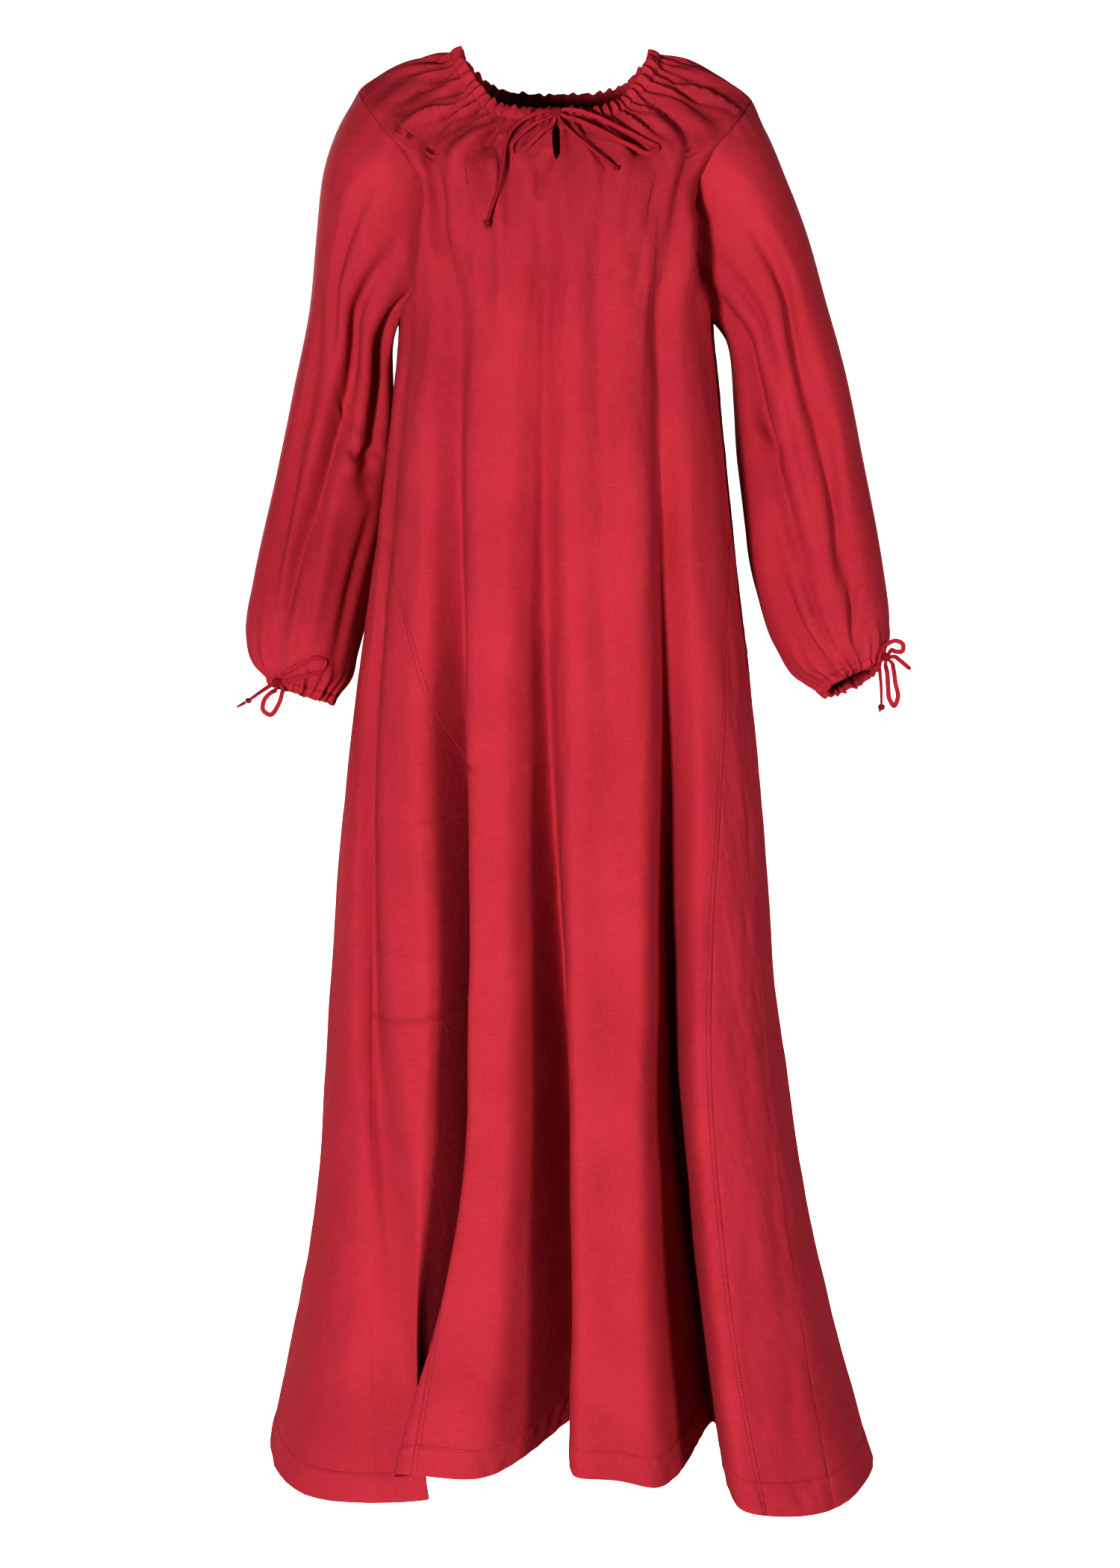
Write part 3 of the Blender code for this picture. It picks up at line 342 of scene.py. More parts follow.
# name, knot, angles at which it leaves and comes back (0 right, 90 up), end knot, turn of the flat at both ends, and
# the route in millimetres
strings = [
    ("neck_string_end_left", "neck_bow_knot", 172, None, "neck_string_knot_left", (20, 60), [
        (-14, -97, -66), (-27, -94.5, -70.5), (-39, -97.5, -79), (-47.5, -105, -94), (-51, -115.5, -116.5),
        (-54.5, -126.2, -138.5), (-60.6, -133.8, -158.7), (-64, -136.4, -168)]),
    ("neck_bow_loop_left", "neck_bow_knot", 214, 255, None, (35, -10), [
        (-13.5, -97.5, -73.5), (-23.5, -97.8, -79), (-34.5, -100.5, -88), (-42.5, -106, -99.5), (-40.4, -110, -108.6),
        (-31.2, -107.5, -103.5), (-22.2, -103.5, -94), (-12.5, -101, -84.5)]),
    ("neck_bow_loop_right", "neck_bow_knot", 15, -25, None, (25, -20), [
        (17, -96, -64.5), (34, -94.5, -69), (61, -95, -81.5), (84, -96.5, -93), (96.5, -100.5, -101),
        (90.5, -103, -105.5), (68, -107.5, -98), (41, -101.5, -84), (19.5, -98, -74)]),
    ("neck_string_end_right", "neck_bow_knot", -66, None, "neck_string_knot_right", (50, 70), [
        (8.5, -99.5, -80.5), (22, -106.2, -93), (39, -113, -107.5), (53.2, -117.2, -118.4)]),
    ("cuff_bow_loop_upper_left", "cuff_bow_knot_left", 50, 2, None, (20, -20), [
        (-266, -49.5, -604.4), (-250.8, -52, -596.7), (-236, -51.5, -590.8), (-228.4, -48, -594.9),
        (-232.1, -48.5, -602.9), (-245.8, -50.5, -608.2), (-260.8, -49, -612.5), (-265.5, -46.2, -614)]),
    ("cuff_bow_loop_lower_left", "cuff_bow_knot_left", -50, -100, None, (30, -30), [
        (-271.8, -47, -627.4), (-275.5, -46, -637.9), (-283.8, -45, -647.6), (-290.4, -45, -643.1),
        (-289.5, -46, -633.4), (-281.8, -47, -625)]),
    ("cuff_string_end_left", "cuff_bow_knot_left", -150, None, "cuff_string_knot_left", (30, 60), [
        (-292.3, -46.5, -624.5), (-301.8, -45.2, -631.1)]),
    ("cuff_bow_loop_upper_right", "cuff_bow_knot_right", 105, 53, None, (40, -20), [
        (328.3, -44, -577.2), (335.6, -44, -574.2), (343, -44, -577.9), (342.4, -44, -584.6), (336, -44, -585)]),
    ("cuff_string_end_upper_right", "cuff_bow_knot_right", 2, None, None, (30, 30), [
        (340, -44, -593.5), (350.7, -43, -602.4)]),
    ("cuff_bow_loop_lower_right", "cuff_bow_knot_right", -46, -93, None, (40, -20), [
        (334, -44, -602.8), (336.2, -43, -616.5), (338.7, -42, -631.4), (335, -42, -639), (330.8, -42, -632.9),
        (328.8, -43, -618.7), (327.5, -44, -604.5)]),
    ("cuff_string_end_lower_right", "cuff_bow_knot_right", -141, None, "cuff_string_knot_right", (40, 80), [
        (320.5, -44, -604.5), (322, -43, -620.2), (322.4, -43, -635.7)]),
]
shortestCord = 0.031  # a string shorter than this is listed with the longer cord that shares its knot
cuffTail = {"ends": ((-0.3080, -0.0452, -0.6352), (-0.3165, -0.0448, -0.6399)), "turns": (50, 80)}
# What goes with a cord that ends in each knot
onEnd = {
    "neck_string_knot_left": ["neck_string_knot_left", "neck_fray_left"],
    "neck_string_knot_right": ["neck_string_knot_right"],
    "cuff_string_knot_left": ["cuff_string_knot_left", "cuff_tail_left"],
    "cuff_string_knot_right": ["cuff_string_knot_right", "cuff_tail_right"],
}


def besideKnot(name, angle, further):
    place, radius = knots[name]
    a = math.radians(angle)
    return np.array(place) + (radius + tapeSettings["clearance"] + further) * np.array([math.cos(a), 0, math.sin(a)])


def stringLine(knot, leaves, returns, tiedTo, route):
    # The tape's centreline, from a little inside its knot and along a smooth curve through the route
    inside, lead = -tapeSettings["intoKnot"], tapeSettings["lead"]
    guide = [besideKnot(knot, leaves, inside), besideKnot(knot, leaves, lead), *np.array(route) * 0.001]
    if returns is not None:
        guide += [besideKnot(knot, returns, lead), besideKnot(knot, returns, inside)]
    if tiedTo:
        place, radius = np.array(knots[tiedTo][0]), knots[tiedTo][1]
        guide[-1] = place + unit(guide[-1] - place) * (radius - tapeSettings["intoKnot"])
    guide = np.array(guide)
    run = runAlong(guide)
    at = np.linspace(0, run[-1], max(16, round(run[-1] / tapeSettings["step"])))
    return eachAxis(lambda column: smoothCurve(run, column, at), guide)


def tapePiece(line, turns):
    # A flat section swept along the line, its face to the front and turned a little along the way
    tangents = unit(np.gradient(line, axis=0))
    share = runAlong(line) / runAlong(line)[-1]
    angle = np.radians(turns[0] + (turns[1] - turns[0]) * share)[:, None]
    front = squareTo(np.array([0, -1.0, 0]), tangents)
    side = np.cross(tangents, front)
    face = front * np.cos(angle) + side * np.sin(angle)
    wide = np.cross(face, tangents)
    around = np.arange(tapeSettings["sides"] + 1) * math.tau / tapeSettings["sides"]
    w = signedPower(np.cos(around), tapeSettings["edgePower"]) * tapeSettings["width"] / 2
    t = signedPower(np.sin(around), tapeSettings["facePower"]) * tapeSettings["thickness"] / 2
    ends = bell(share, tapeSettings["pinchReach"]) + bell(1 - share, tapeSettings["pinchReach"])
    rings = swept(line, wide, face, w[None] * (1 - tapeSettings["pinch"] * ends[:, None]), t[None])
    length = runAlong(line)[:, None] + 0 * around[None]
    girth = np.broadcast_to(np.concatenate([[0], np.cumsum(np.hypot(np.diff(w), np.diff(t)))]), length.shape)
    piece = gridPiece(rings, np.stack([girth, length], axis=-1), closed=True)
    closeTube()
    return piece


knotLook = {"squash": (1.0, 0.80, 0.86), "size": 0.85, "groove": 0.55, "winding": 0.13, "windingLean": 2.2,
            "crossing": 0.10, "crossings": 3.1, "segments": 40, "rings": 24, "bowWindings": 5, "endWindings": 4}


def knotPiece(place, radius, windings):
    # Tape wound over itself: a ball with soft grooves that cross
    deselectAll()
    bpy.ops.mesh.primitive_uv_sphere_add(segments=knotLook["segments"], ring_count=knotLook["rings"], radius=radius,
                                         location=place)
    piece = bpy.context.object
    bpy.ops.object.transform_apply(location=True, rotation=True, scale=True)
    for v in piece.data.vertices:
        away = np.array(v.co) - np.array(place)
        n = away / radius
        winding = abs(math.sin(windings * math.atan2(n[2], n[0]) / 2 + knotLook["windingLean"] * n[1]))
        crossing = abs(math.sin(knotLook["crossings"] * (n[0] - n[2])))
        groove = knotLook["winding"] * winding + knotLook["crossing"] * crossing
        v.co = np.array(place) + away * np.array(knotLook["squash"]) * (knotLook["size"] + groove * knotLook["groove"])
    return piece


fray = {"strands": 14, "length": 0.0062, "spread": 0.45, "bend": 0.0012, "radius": 0.00028, "start": 0.55,
        "shortest": 0.6, "taper": 0.35, "seed": 5}


def frayPiece(place, radius, along):
    # Loose threads where a tape is cut, in a small tuft beyond its knot
    rng = np.random.default_rng(fray["seed"])
    strands = []
    for _ in range(fray["strands"]):
        direction = unit(np.array(along) + rng.normal(0, fray["spread"], 3))
        start = np.array(place) + direction * radius * fray["start"]
        bend = rng.normal(0, fray["bend"], 3)
        steps = np.linspace(0, 1, 5)[:, None]
        length = fray["length"] * rng.uniform(fray["shortest"], 1.0)
        strands.append(start + direction * length * steps + bend * steps ** 2)
    return threadPiece(strands, fray["radius"])


def threadPiece(lines, radius):
    # Fine three-sided threads along short lines, joined in one mesh
    pieces = []
    for line in lines:
        tangents = unit(np.gradient(line, axis=0))
        side = unit(np.cross(tangents, [0.3, 0.2, 0.9]))
        other = np.cross(tangents, side)
        around = np.arange(4) * math.tau / 3
        taper = np.linspace(1, fray["taper"], len(line))[:, None] * radius
        points = swept(line, side, other, taper * np.cos(around), taper * np.sin(around))
        pieces.append(gridPiece(points, points[..., :2], closed=True))
    return joined(pieces)


def makeStrings():
    made, lines, lengths, shortOnes = {}, {}, {}, {}

    def finishString(piece, name, ending="", nodes=()):
        made[name] = finishPiece(piece, name + ending, "tape", nodes)

    for name, (place, radius) in knots.items():
        windings = knotLook["bowWindings" if "bow" in name else "endWindings"]
        finishString(knotPiece(place, radius, windings), name, "_tied", [name])
    for name, knot, along in (("neck_fray_left", "neck_string_knot_left", (0.25, -0.3, -1.0)),
                              ("cuff_tail_right", "cuff_string_knot_right", (-0.3, 0.0, -1.0))):
        finishString(frayPiece(*knots[knot], along), name)
    for name, knot, leaves, returns, tiedTo, turns, route in strings:
        lines[name] = stringLine(knot, leaves, returns, tiedTo, route)
        lengths[name] = float(runAlong(lines[name])[-1])
        finishString(tapePiece(lines[name], turns), name, "_tape", [name])
        if lengths[name] < shortestCord:
            shortOnes.setdefault(knot, []).append((name, tiedTo))
    finishString(tapePiece(np.linspace(*cuffTail["ends"], 12), cuffTail["turns"]), "cuff_tail_left")
    usedKnots = set()
    for name, knot, leaves, returns, tiedTo, turns, route in strings:
        if lengths[name] < shortestCord:
            continue
        going = [made[k] for k in onEnd.get(tiedTo, [])]
        if knot not in usedKnots:
            going.append(made[knot])
            for short, end in shortOnes.get(knot, []):
                going += [made[k] for k in (short, *onEnd.get(end, []))]
            usedKnots.add(knot)
    for name, value in lengths.items():
        print("string", name, "is", round(value * 1000), "mm long")


makeStrings()
print("drawstrings tied:", len(strings), "tapes and", len(knots), "knots")


# The body's form, near the solids' but with deeper front folds: level sections, long folds and seams. Lengths are in
# metres unless said, turns in degrees, 0 at the front centre, 90 at the picture's right, 180 at the back. A fall is
# the way down the cloth. The level sections are in millimetres, and their squareness in thousandths.
levelNames = ("fall", "zFront", "zLeft", "zRight", "zBack", "left", "right", "front", "back", "square")
bodyLevels = 0.001 * np.array([
    (0, -71, 1, -3, -38, 103, 101, -88, 74, 0),
    (22, -80, 0, -4, -50, 120, 120, -95, 82, 0),
    (62, -96, -9.5, -20, -72, 159, 156, -106, 94, 0),
    (103, -115, -32.5, -43.5, -98, 196, 192, -118, 104, 0),
    (200, -182, -126, -131, -178, 184, 182, -142, 118, 0),
    (330, -275, -262, -262, -272, 159, 158, -154, 126, 10),
    (395, -335, -327, -327, -335, 165, 164, -156, 130, 20),
    (580, -515, -512, -512, -515, 187, 185, -160, 140, 30),
    (760, -690, -692, -692, -692, 211, 206, -168, 155, 40),
    (1000, -918, -930, -930, -925, 230, 224, -188, 184, 50),
    (1180, -1088, -1108, -1108, -1100, 242, 250, -208, 208, 50),
    (1360, -1258, -1290, -1290, -1274, 270, 289, -230, 232, 50),
    (1490, -1358, -1397, -1412, -1385, 292, 324, -250, 256, 50),
])
body = {"shoulder": 0.103, "armhole": 0.200, "armpit": 0.330, "goreTop": 0.520, "waist": 0.580, "hem": 1.490,
        "hemPower": 8.0, "neckPower": 4.2, "troughLift": 0.20, "turnStep": 0.25, "fallStep": 0.002}
foldFalls = [0.00, 0.12, 0.33, 0.58, 1.00, 1.18, 1.49]
# turn and depth in millimetres at those falls, then half width at even falls down to the hem, and how far the
# floor is drawn aside at the first and last
longFolds = [
    ((-62, -62, -62, -62, -45, -38, -33), (0, 0, 2, 9, 20, 16, 2), (5, 5), (-0.5, -0.5)),
    ((-47, -40, -38, -32, -22.6, -23.0, -25.0), (0, 9, 15, 34, 108, 134, 116), (8.0, 6.0, 2.5, 2.4), (0.05, 0.23)),
    ((-4, -5, -5.5, -5, -3.0, -2.8, -3.9), (0, 11, 18, 30, 88, 118, 130), (7.0, 5.2, 3.3, 3.6), (0.10, 0.31)),
    ((14, 14, 14, 13, 11, 11, 9), (0, 7, 8, 8, 8, 8, 8), (4.5, 5), (0.20, 0.20)),
    ((50, 44, 39, 33, 24.6, 22.4, 21.0), (0, 7, 14, 32, 94, 132, 158), (7.5, 5.8, 3.6, 3.9), (0.15, 0.36)),
    ((84, 84, 84, 84, 92, 96, 100), (0, 2, 4, 6, 14, 24, 40), (9, 8), (0, 0)),
    ((132, 128, 124, 120, 116, 114, 112), (0, 8, 12, 16, 44, 66, 100), (8, 7), (-0.30, -0.30)),
    ((154, 153, 152, 150, 148, 147, 146), (0, 12, 16, 20, 40, 60, 105), (6, 7), (-0.30, -0.30)),
    ((178, 178, 178, 177, 178, 179, 180), (0, 11, 16, 20, 48, 74, 122), (6, 7), (0.20, 0.20)),
    ((-156, -155, -154, -152, -149, -148, -146), (0, 12, 17, 21, 42, 64, 112), (6, 7), (0.30, 0.30)),
    ((-132, -129, -126, -121, -116, -113, -111), (0, 8, 12, 16, 40, 60, 96), (8, 7), (0.30, 0.30)),
    ((-86, -86, -86, -88, -93, -96, -100), (0, 2, 4, 6, 12, 22, 36), (9, 8), (0, 0)),
]
# Crests that lap over the trough beside them: turn, shift and rise in millimetres at these falls, half width
lapFalls = [1.00, 1.18, 1.36, 1.49]
lapDepth = 0.030
laps = [
    ((-38, -36, -34, -33), (0, 12, 32, 54), (0, 0, -9, -18), 7),
    ((-20, -19, -19, -17.5), (0, 0, -22, -42), (0, 2, 6, 10), 5.5),
    ((-12, -12, -13, -13), (0, 1, 2, 0), (0, 3, 9, 13), 5),
]
# Where the hem hangs a little higher: turn, lift in millimetres, half width
hemLifts = [(-90, 16, 22), (-17, 24, 7), (72, 10, 16)]
liftFrom = 1.20
# Folds that fan out from the neck: turn at the neck and where it dies out, reach, depth, half width
fanFolds = [
    (-72, -70, 0.11, 0.008, 6.0), (-58, -52, 0.13, 0.007, 5.0), (-27, -23, 0.36, 0.010, 3.5),
    (-15, -14, 0.20, 0.006, 2.8), (5, 5, 0.22, 0.006, 2.8), (29, 28, 0.34, 0.009, 3.5),
    (60, 55, 0.13, 0.007, 5.0), (72, 70, 0.11, 0.008, 6.0), (110, 112, 0.11, 0.007, 6.0),
    (166, 165, 0.30, 0.007, 4.0), (-168, -166, 0.30, 0.007, 4.0), (-110, -112, 0.11, 0.007, 6.0),
]
seamFalls = [0.330, 0.520, 0.600, 0.690, 0.790, 1.000, 1.250, 1.490]
seams = {
    "sideLeft": (-90, -74, -64, -58, -55, -47, -41, -38),
    "frontGoreLeft": (-90, -74, -50, -36, -26, -22, -20, -16),
    "backGoreLeft": (-90, -74, -88, -100, -110, -122, -129, -132),
    "sideRight": (90, 72, 66, 61, 57, 58, 55, 50),
    "frontGoreRight": (90, 72, 60, 52, 45, 36, 33, 33),
    "backGoreRight": (90, 72, 86, 98, 108, 121, 128, 132),
}
armhole = {"front": 43.0, "back": 39.0, "fold": 0.040, "foldFalls": [0.125, 0.200, 0.280, 0.328], "foldWidth": 4.2,
           "foldLean": {-1: 0.60, 1: 0.15},
           "falls": [0.103, 0.107, 0.115, 0.130, 0.160, 0.205, 0.252, 0.292, 0.319, 0.330],
           "shares": [0.00, 0.32, 0.65, 0.92, 0.97, 0.87, 0.74, 0.58, 0.33, 0.00]}


def levelValue(column, fall):
    return smoothCurve(bodyLevels[:, 0], bodyLevels[:, levelNames.index(column)], fall)


def bodyBase(turn, fall):
    a = np.radians(turn)
    sine, cosine = np.sin(a), np.cos(a)
    square = levelValue("square", fall)
    across = (sine + square * np.sin(3 * a)) / (1 - square)
    along = (cosine - square * np.cos(3 * a)) / (1 - square)
    right, ahead = sine > 0, cosine > 0
    x = across * np.where(right, levelValue("right", fall), levelValue("left", fall))
    y = along * np.where(ahead, levelValue("front", fall), -levelValue("back", fall))
    zSide = np.where(right, levelValue("zRight", fall), levelValue("zLeft", fall))
    zEnd = np.where(ahead, levelValue("zFront", fall), levelValue("zBack", fall))
    neckShare = 1 - np.abs(sine) ** body["neckPower"]
    skirtShare = np.abs(cosine) ** (2 + body["hemPower"] * (fall / body["hem"]) ** 3)
    share = neckShare + (skirtShare - neckShare) * min(1.0, fall / body["armhole"])
    return np.stack([x, y, zSide + (zEnd - zSide) * share], axis=-1)


def armholeOpening(fall):
    if not body["shoulder"] < fall < body["armpit"]:
        return 0.0
    return float(np.interp(fall, armhole["falls"], armhole["shares"]))


def foldDepths(turn, fall):
    deep, aside = np.zeros_like(turn), np.zeros_like(turn)
    for turns, depths, widths, leans in longFolds:
        depth = 0.001 * max(0.0, float(smoothCurve(foldFalls, depths, fall)))
        ends = (foldFalls[0], foldFalls[-1])
        width = np.interp(fall, np.linspace(0, body["hem"], len(widths)), widths)
        trough = depth * bell(turnBetween(turn, smoothCurve(foldFalls, turns, fall)), width)
        deep += trough
        aside += np.interp(fall, ends, leans) * trough
    if fall > lapFalls[0]:
        crest = 1 - fade(deep, 0, lapDepth)
        for turns, shifts, rises, wide in laps:
            here = crest * bell(turnBetween(turn, smoothCurve(lapFalls, turns, fall)), wide)
            aside += 0.001 * smoothCurve(lapFalls, shifts, fall) * here
            deep -= 0.001 * smoothCurve(lapFalls, rises, fall) * here
    for start, end, reach, depth, wide in fanFolds:
        if fall < reach:
            share = fall / reach
            deep += depth * math.sin(math.pi * share ** 0.7) * bell(
                turnBetween(turn, start + (end - start) * share), wide)
    return deep, aside


def armholeHollow(turn, fall):  # the cloth beside each armhole seam, drawn in behind the edge of the body
    pushed = np.zeros(turn.shape + (3,))
    hollow = armhole["fold"] * float(np.interp(fall, armhole["foldFalls"], [0, 1, 1, 0]))
    if hollow > 0:
        for side in (-1, 1):
            for reach, inward in ((armhole["front"], 1.0), (-armhole["back"], -1.0)):
                seam = side * (90 - reach * armholeOpening(fall))
                here = hollow * bell(turnBetween(turn, seam), armhole["foldWidth"])
                pushed += here[..., None] * np.array([-side * armhole["foldLean"][side], inward, 0.0])
    return pushed


def bodySurface(turn, fall):
    turn = np.asarray(turn, float)
    here, turnStep, fallStep = bodyBase(turn, fall), body["turnStep"], body["fallStep"]
    roundIt = unit(bodyBase(turn + turnStep, fall) - bodyBase(turn - turnStep, fall))
    near = min(max(fall, fallStep), body["hem"] - fallStep)
    down = bodyBase(turn, near + fallStep) - bodyBase(turn, near - fallStep)
    level = min(1.0, max(0.0, (fall - body["shoulder"]) / (body["armpit"] - body["shoulder"])))
    out = unit(unit(np.cross(down, roundIt)) * [1, 1, 1 - level])
    across = unit(roundIt * [1, 1, 1 - level])
    deep, aside = foldDepths(turn, fall)
    lifted = body["troughLift"] * deep * max(0.0, fall - body["waist"])
    for middle, rise, wide in hemLifts:
        lifted = lifted + 0.001 * rise * fade(fall, liftFrom, body["hem"]) * bell(turnBetween(turn, middle), wide)
    here = here - out * deep[..., None] + across * aside[..., None] + lifted[..., None] * np.array([0, 0, 1.0])
    return here + armholeHollow(turn, fall)


def seamTurn(name, fall):
    return float(seams[name][0] if fall <= seamFalls[0] else smoothCurve(seamFalls, seams[name], fall))


def panelEnds(fall):
    front, back = (armhole[k] * armholeOpening(fall) for k in ("front", "back"))
    below = fall > body["goreTop"] + 1e-9
    ends = {}
    for side, sign in (("Left", 1), ("Right", -1)):
        ends["front" + side] = seamTurn(("frontGore" if below else "side") + side, fall) + sign * front
        ends["back" + side] = seamTurn(("backGore" if below else "side") + side, fall) - sign * back
    return ends


# Rows and columns of the fine cloth. Edge steps are the columns' distances from a sewn edge, rows the counts of rows
# from the armhole's head to the armpit, the gore's top, the hem's stitching and the hem.
cloth = {"thickness": 0.0009, "frontColumns": 82, "backColumns": 150, "goreColumns": 62, "narrowGoreColumns": 44,
         "edgeSteps": (0.0, 0.0008, 0.0016, 0.0030, 0.0046, 0.0062, 0.0080), "dense": 900, "bendLength": 0.030,
         "narrow": 0.06, "hemDepth": 0.034, "yokeRows": 48, "rows": (52, 30, 132, 13),
         "armTop": [0.1034, 0.1040, 0.1050, 0.1060, 0.107, 0.109, 0.111, 0.113, 0.115, 0.1185, 0.122, 0.126, 0.130]}


def rowFalls():
    # Falls of the rows: the yoke, the head of the armhole, and then evenly between the stops
    stops = [cloth["armTop"][-1], body["armpit"], body["goreTop"], body["hem"] - cloth["hemDepth"], body["hem"]]
    below = [np.linspace(start, end, count)[1:] for start, end, count in zip(stops, stops[1:], cloth["rows"])]
    return np.concatenate([np.linspace(0, body["shoulder"], cloth["yokeRows"]), cloth["armTop"], *below])


falls = rowFalls()
shoulderRow, armpitRow, goreRow, hemRow = (int(np.argmin(abs(falls - fall))) for fall in (
    body["shoulder"], body["armpit"], body["goreTop"], body["hem"] - cloth["hemDepth"]))


def columnTurns(start, end, fall, count, edges=(True, True)):
    # Turns of the columns: close to a sewn edge at set distances, then even, and closer where the cloth bends
    turns = np.linspace(start, end, cloth["dense"])
    steps = np.diff(bodySurface(turns, fall), axis=0)
    lengths = np.linalg.norm(steps, axis=1)
    cosines = np.clip(np.sum(unit(steps[1:]) * unit(steps[:-1]), axis=1), -1, 1)
    length = np.concatenate([[0], np.cumsum(lengths)])
    bends = np.concatenate([[0], np.arccos(cosines)]) * cloth["bendLength"] * min(1.0, fall / body["armpit"])
    run = np.concatenate([[0], np.cumsum(lengths + bends)])
    near = np.array(cloth["edgeSteps"]) * min(1.0, length[-1] / cloth["narrow"])
    first = np.interp(near, length, run) if edges[0] else np.zeros(1)
    last = np.interp(length[-1] - near[::-1], length, run) if edges[1] else run[-1:]
    middle = np.linspace(first[-1], last[0], count + 1 - (len(first) - 1) - (len(last) - 1))
    return np.interp(np.concatenate([first[:-1], middle, last[1:]]), run, turns)


# Gathers: pleats that run down from the casing, uneven in place, height and length
gathers = {"height": 0.0036, "reach": 0.052, "longReach": 0.18, "longShare": 0.34, "frontCount": 17, "backCount": 24,
           "shift": 0.16, "heights": (0.65, 1.25), "reaches": (0.6, 1.4), "longReaches": (0.6, 1.3), "lean": 0.25,
           "leanOver": 0.05, "halfWidth": 0.30, "fadePower": 1.3}


def gatherField(share, fall, count, seed):
    rng = np.random.default_rng(seed)
    total = np.zeros_like(share)
    for k in range(count):
        place = (k + 0.5 + rng.uniform(-gathers["shift"], gathers["shift"])) / count
        high = gathers["height"] * rng.uniform(*gathers["heights"])
        kind, spread = ("longReach", "longReaches") if rng.random() < gathers["longShare"] else ("reach", "reaches")
        reach = gathers[kind] * rng.uniform(*gathers[spread])
        lean = rng.uniform(-gathers["lean"], gathers["lean"]) / count
        fadeDown = np.maximum(0.0, 1 - fall / reach) ** gathers["fadePower"]
        offset = share - place - lean * fall / gathers["leanOver"]
        total += high * fadeDown * (2 * bell(offset, gathers["halfWidth"] / count) - 1 / count)
    return total


# Creases pressed or pulled into the cloth. Each has points (turn, fall), depth and width in millimetres.
creases = [
    ([(-80, 0.010), (-84, 0.040), (-86, 0.080)], 5.0, 8.0),
    ([(-69, 0.008), (-64, 0.045), (-60, 0.085)], 7.0, 9.0),
    ([(-54, 0.006), (-44, 0.070), (-37, 0.14), (-42, 0.24)], 9.0, 10.0),
    ([(-43, 0.010), (-36, 0.070), (-30, 0.16), (-30, 0.26)], 6.0, 9.0),
    ([(-30, 0.008), (-23, 0.080), (-20, 0.17), (-21, 0.28)], 6.0, 8.0),
    ([(-20, 0.060), (-13, 0.12), (-14, 0.20), (-15, 0.30)], 6.0, 8.0),
    ([(-22, 0.010), (-20, 0.050), (-19, 0.10)], 2.5, 5.0),
    ([(80, 0.010), (84, 0.040), (86, 0.080)], 5.0, 8.0),
    ([(69, 0.008), (64, 0.045), (60, 0.085)], 7.0, 9.0),
    ([(52, 0.006), (46, 0.070), (40, 0.14), (41, 0.24)], 8.0, 10.0),
    ([(41, 0.010), (36, 0.070), (33, 0.17), (36, 0.26)], 6.0, 9.0),
    ([(30, 0.008), (27, 0.070), (22, 0.15), (23, 0.24)], 5.0, 8.0),
    ([(19, 0.010), (18, 0.050), (17, 0.10)], 2.5, 5.0),
    ([(-2.5, 0.075), (-4.5, 0.115), (-5.0, 0.150)], 4.0, 4.5),
]
metresPerDegree = 0.0030
# How a crease dies out at its ends, and the bank beside it: its share of the depth, place and width
creaseLook = {"end": 0.03, "endPower": 0.6, "bank": 0.45, "bankPlace": 1.9, "bankWidth": 1.1, "steps": 24}


def creaseField(across, down, lines, perTurn, perFall):
    # Height of the creases at places on the cloth, in metres, and how many metres a turn and a fall of 1 are
    total = np.zeros_like(across)
    for points, depth, width in lines:
        points = np.array(points, float) * [perTurn, perFall]
        guide = np.linspace(0, len(points) - 1, creaseLook["steps"])
        xs, ys = (smoothCurve(np.arange(len(points)), points[:, k], guide) for k in (0, 1))
        best, where = np.full(across.shape, 9.0), np.zeros(across.shape)
        for k in range(len(xs) - 1):
            ax, ay, bx, by = xs[k], ys[k], xs[k + 1], ys[k + 1]
            dx, dy = bx - ax, by - ay
            t = np.clip(((across - ax) * dx + (down - ay) * dy) / max(dx * dx + dy * dy, 1e-12), 0, 1)
            distance = np.hypot(across - ax - t * dx, down - ay - t * dy)
            closer = distance < best
            best = np.where(closer, distance, best)
            where = np.where(closer, (k + t) / (len(xs) - 1), where)
        end, w = creaseLook["end"], width * 0.001
        along = np.sin(math.pi * np.clip(where * (1 - 2 * end) + end, 0, 1)) ** creaseLook["endPower"]
        bank = creaseLook["bank"] * bell(best - creaseLook["bankPlace"] * w, w * creaseLook["bankWidth"])
        total += 0.001 * depth * along * (bank - bell(best, w))
    return total


sewing = {"groove": 0.0004, "grooveWidth": 0.0013, "puckerHeight": 0.0004, "puckerReach": 0.012,
          "puckerWaves": (4, (0.03, 0.08), (0.011, 0.024)), "stitchRows": (2, 5), "stitchLength": 0.0027,
          "stitchGap": 0.0008, "stitchRadius": 0.00026, "stitchLift": 0.35, "hemRoll": 0.00042, "hemStand": 0.0005,
          "hemDip": 0.0007, "hemDipWidth": 0.0016, "hemLean": 1.4, "hemWaves": (5, (0.018, 0.045), (0.05, 0.12)),
          "neckStitchRow": 1, "hemStart": (-0.001, 0.003), "armStart": (-0.001, 0.006), "joinReach": 0.006}
# Soft unevenness of the hanging cloth: height, seed step, then the ripple's waves and wavelengths
rumples = [(0.0007, 2, 7, (0.030, 0.075), (0.16, 0.45)), (0.00022, 4, 8, (0.009, 0.022), (0.05, 0.16))]


def seamRelief(distance, down, seed):
    # The groove of a seam, with the cloth beside it slightly puckered by the stitching
    pucker = sewing["puckerHeight"] * ripple(distance, down, seed, *sewing["puckerWaves"])
    return pucker * bell(distance, sewing["puckerReach"]) - sewing["groove"] * bell(distance, sewing["grooveWidth"])


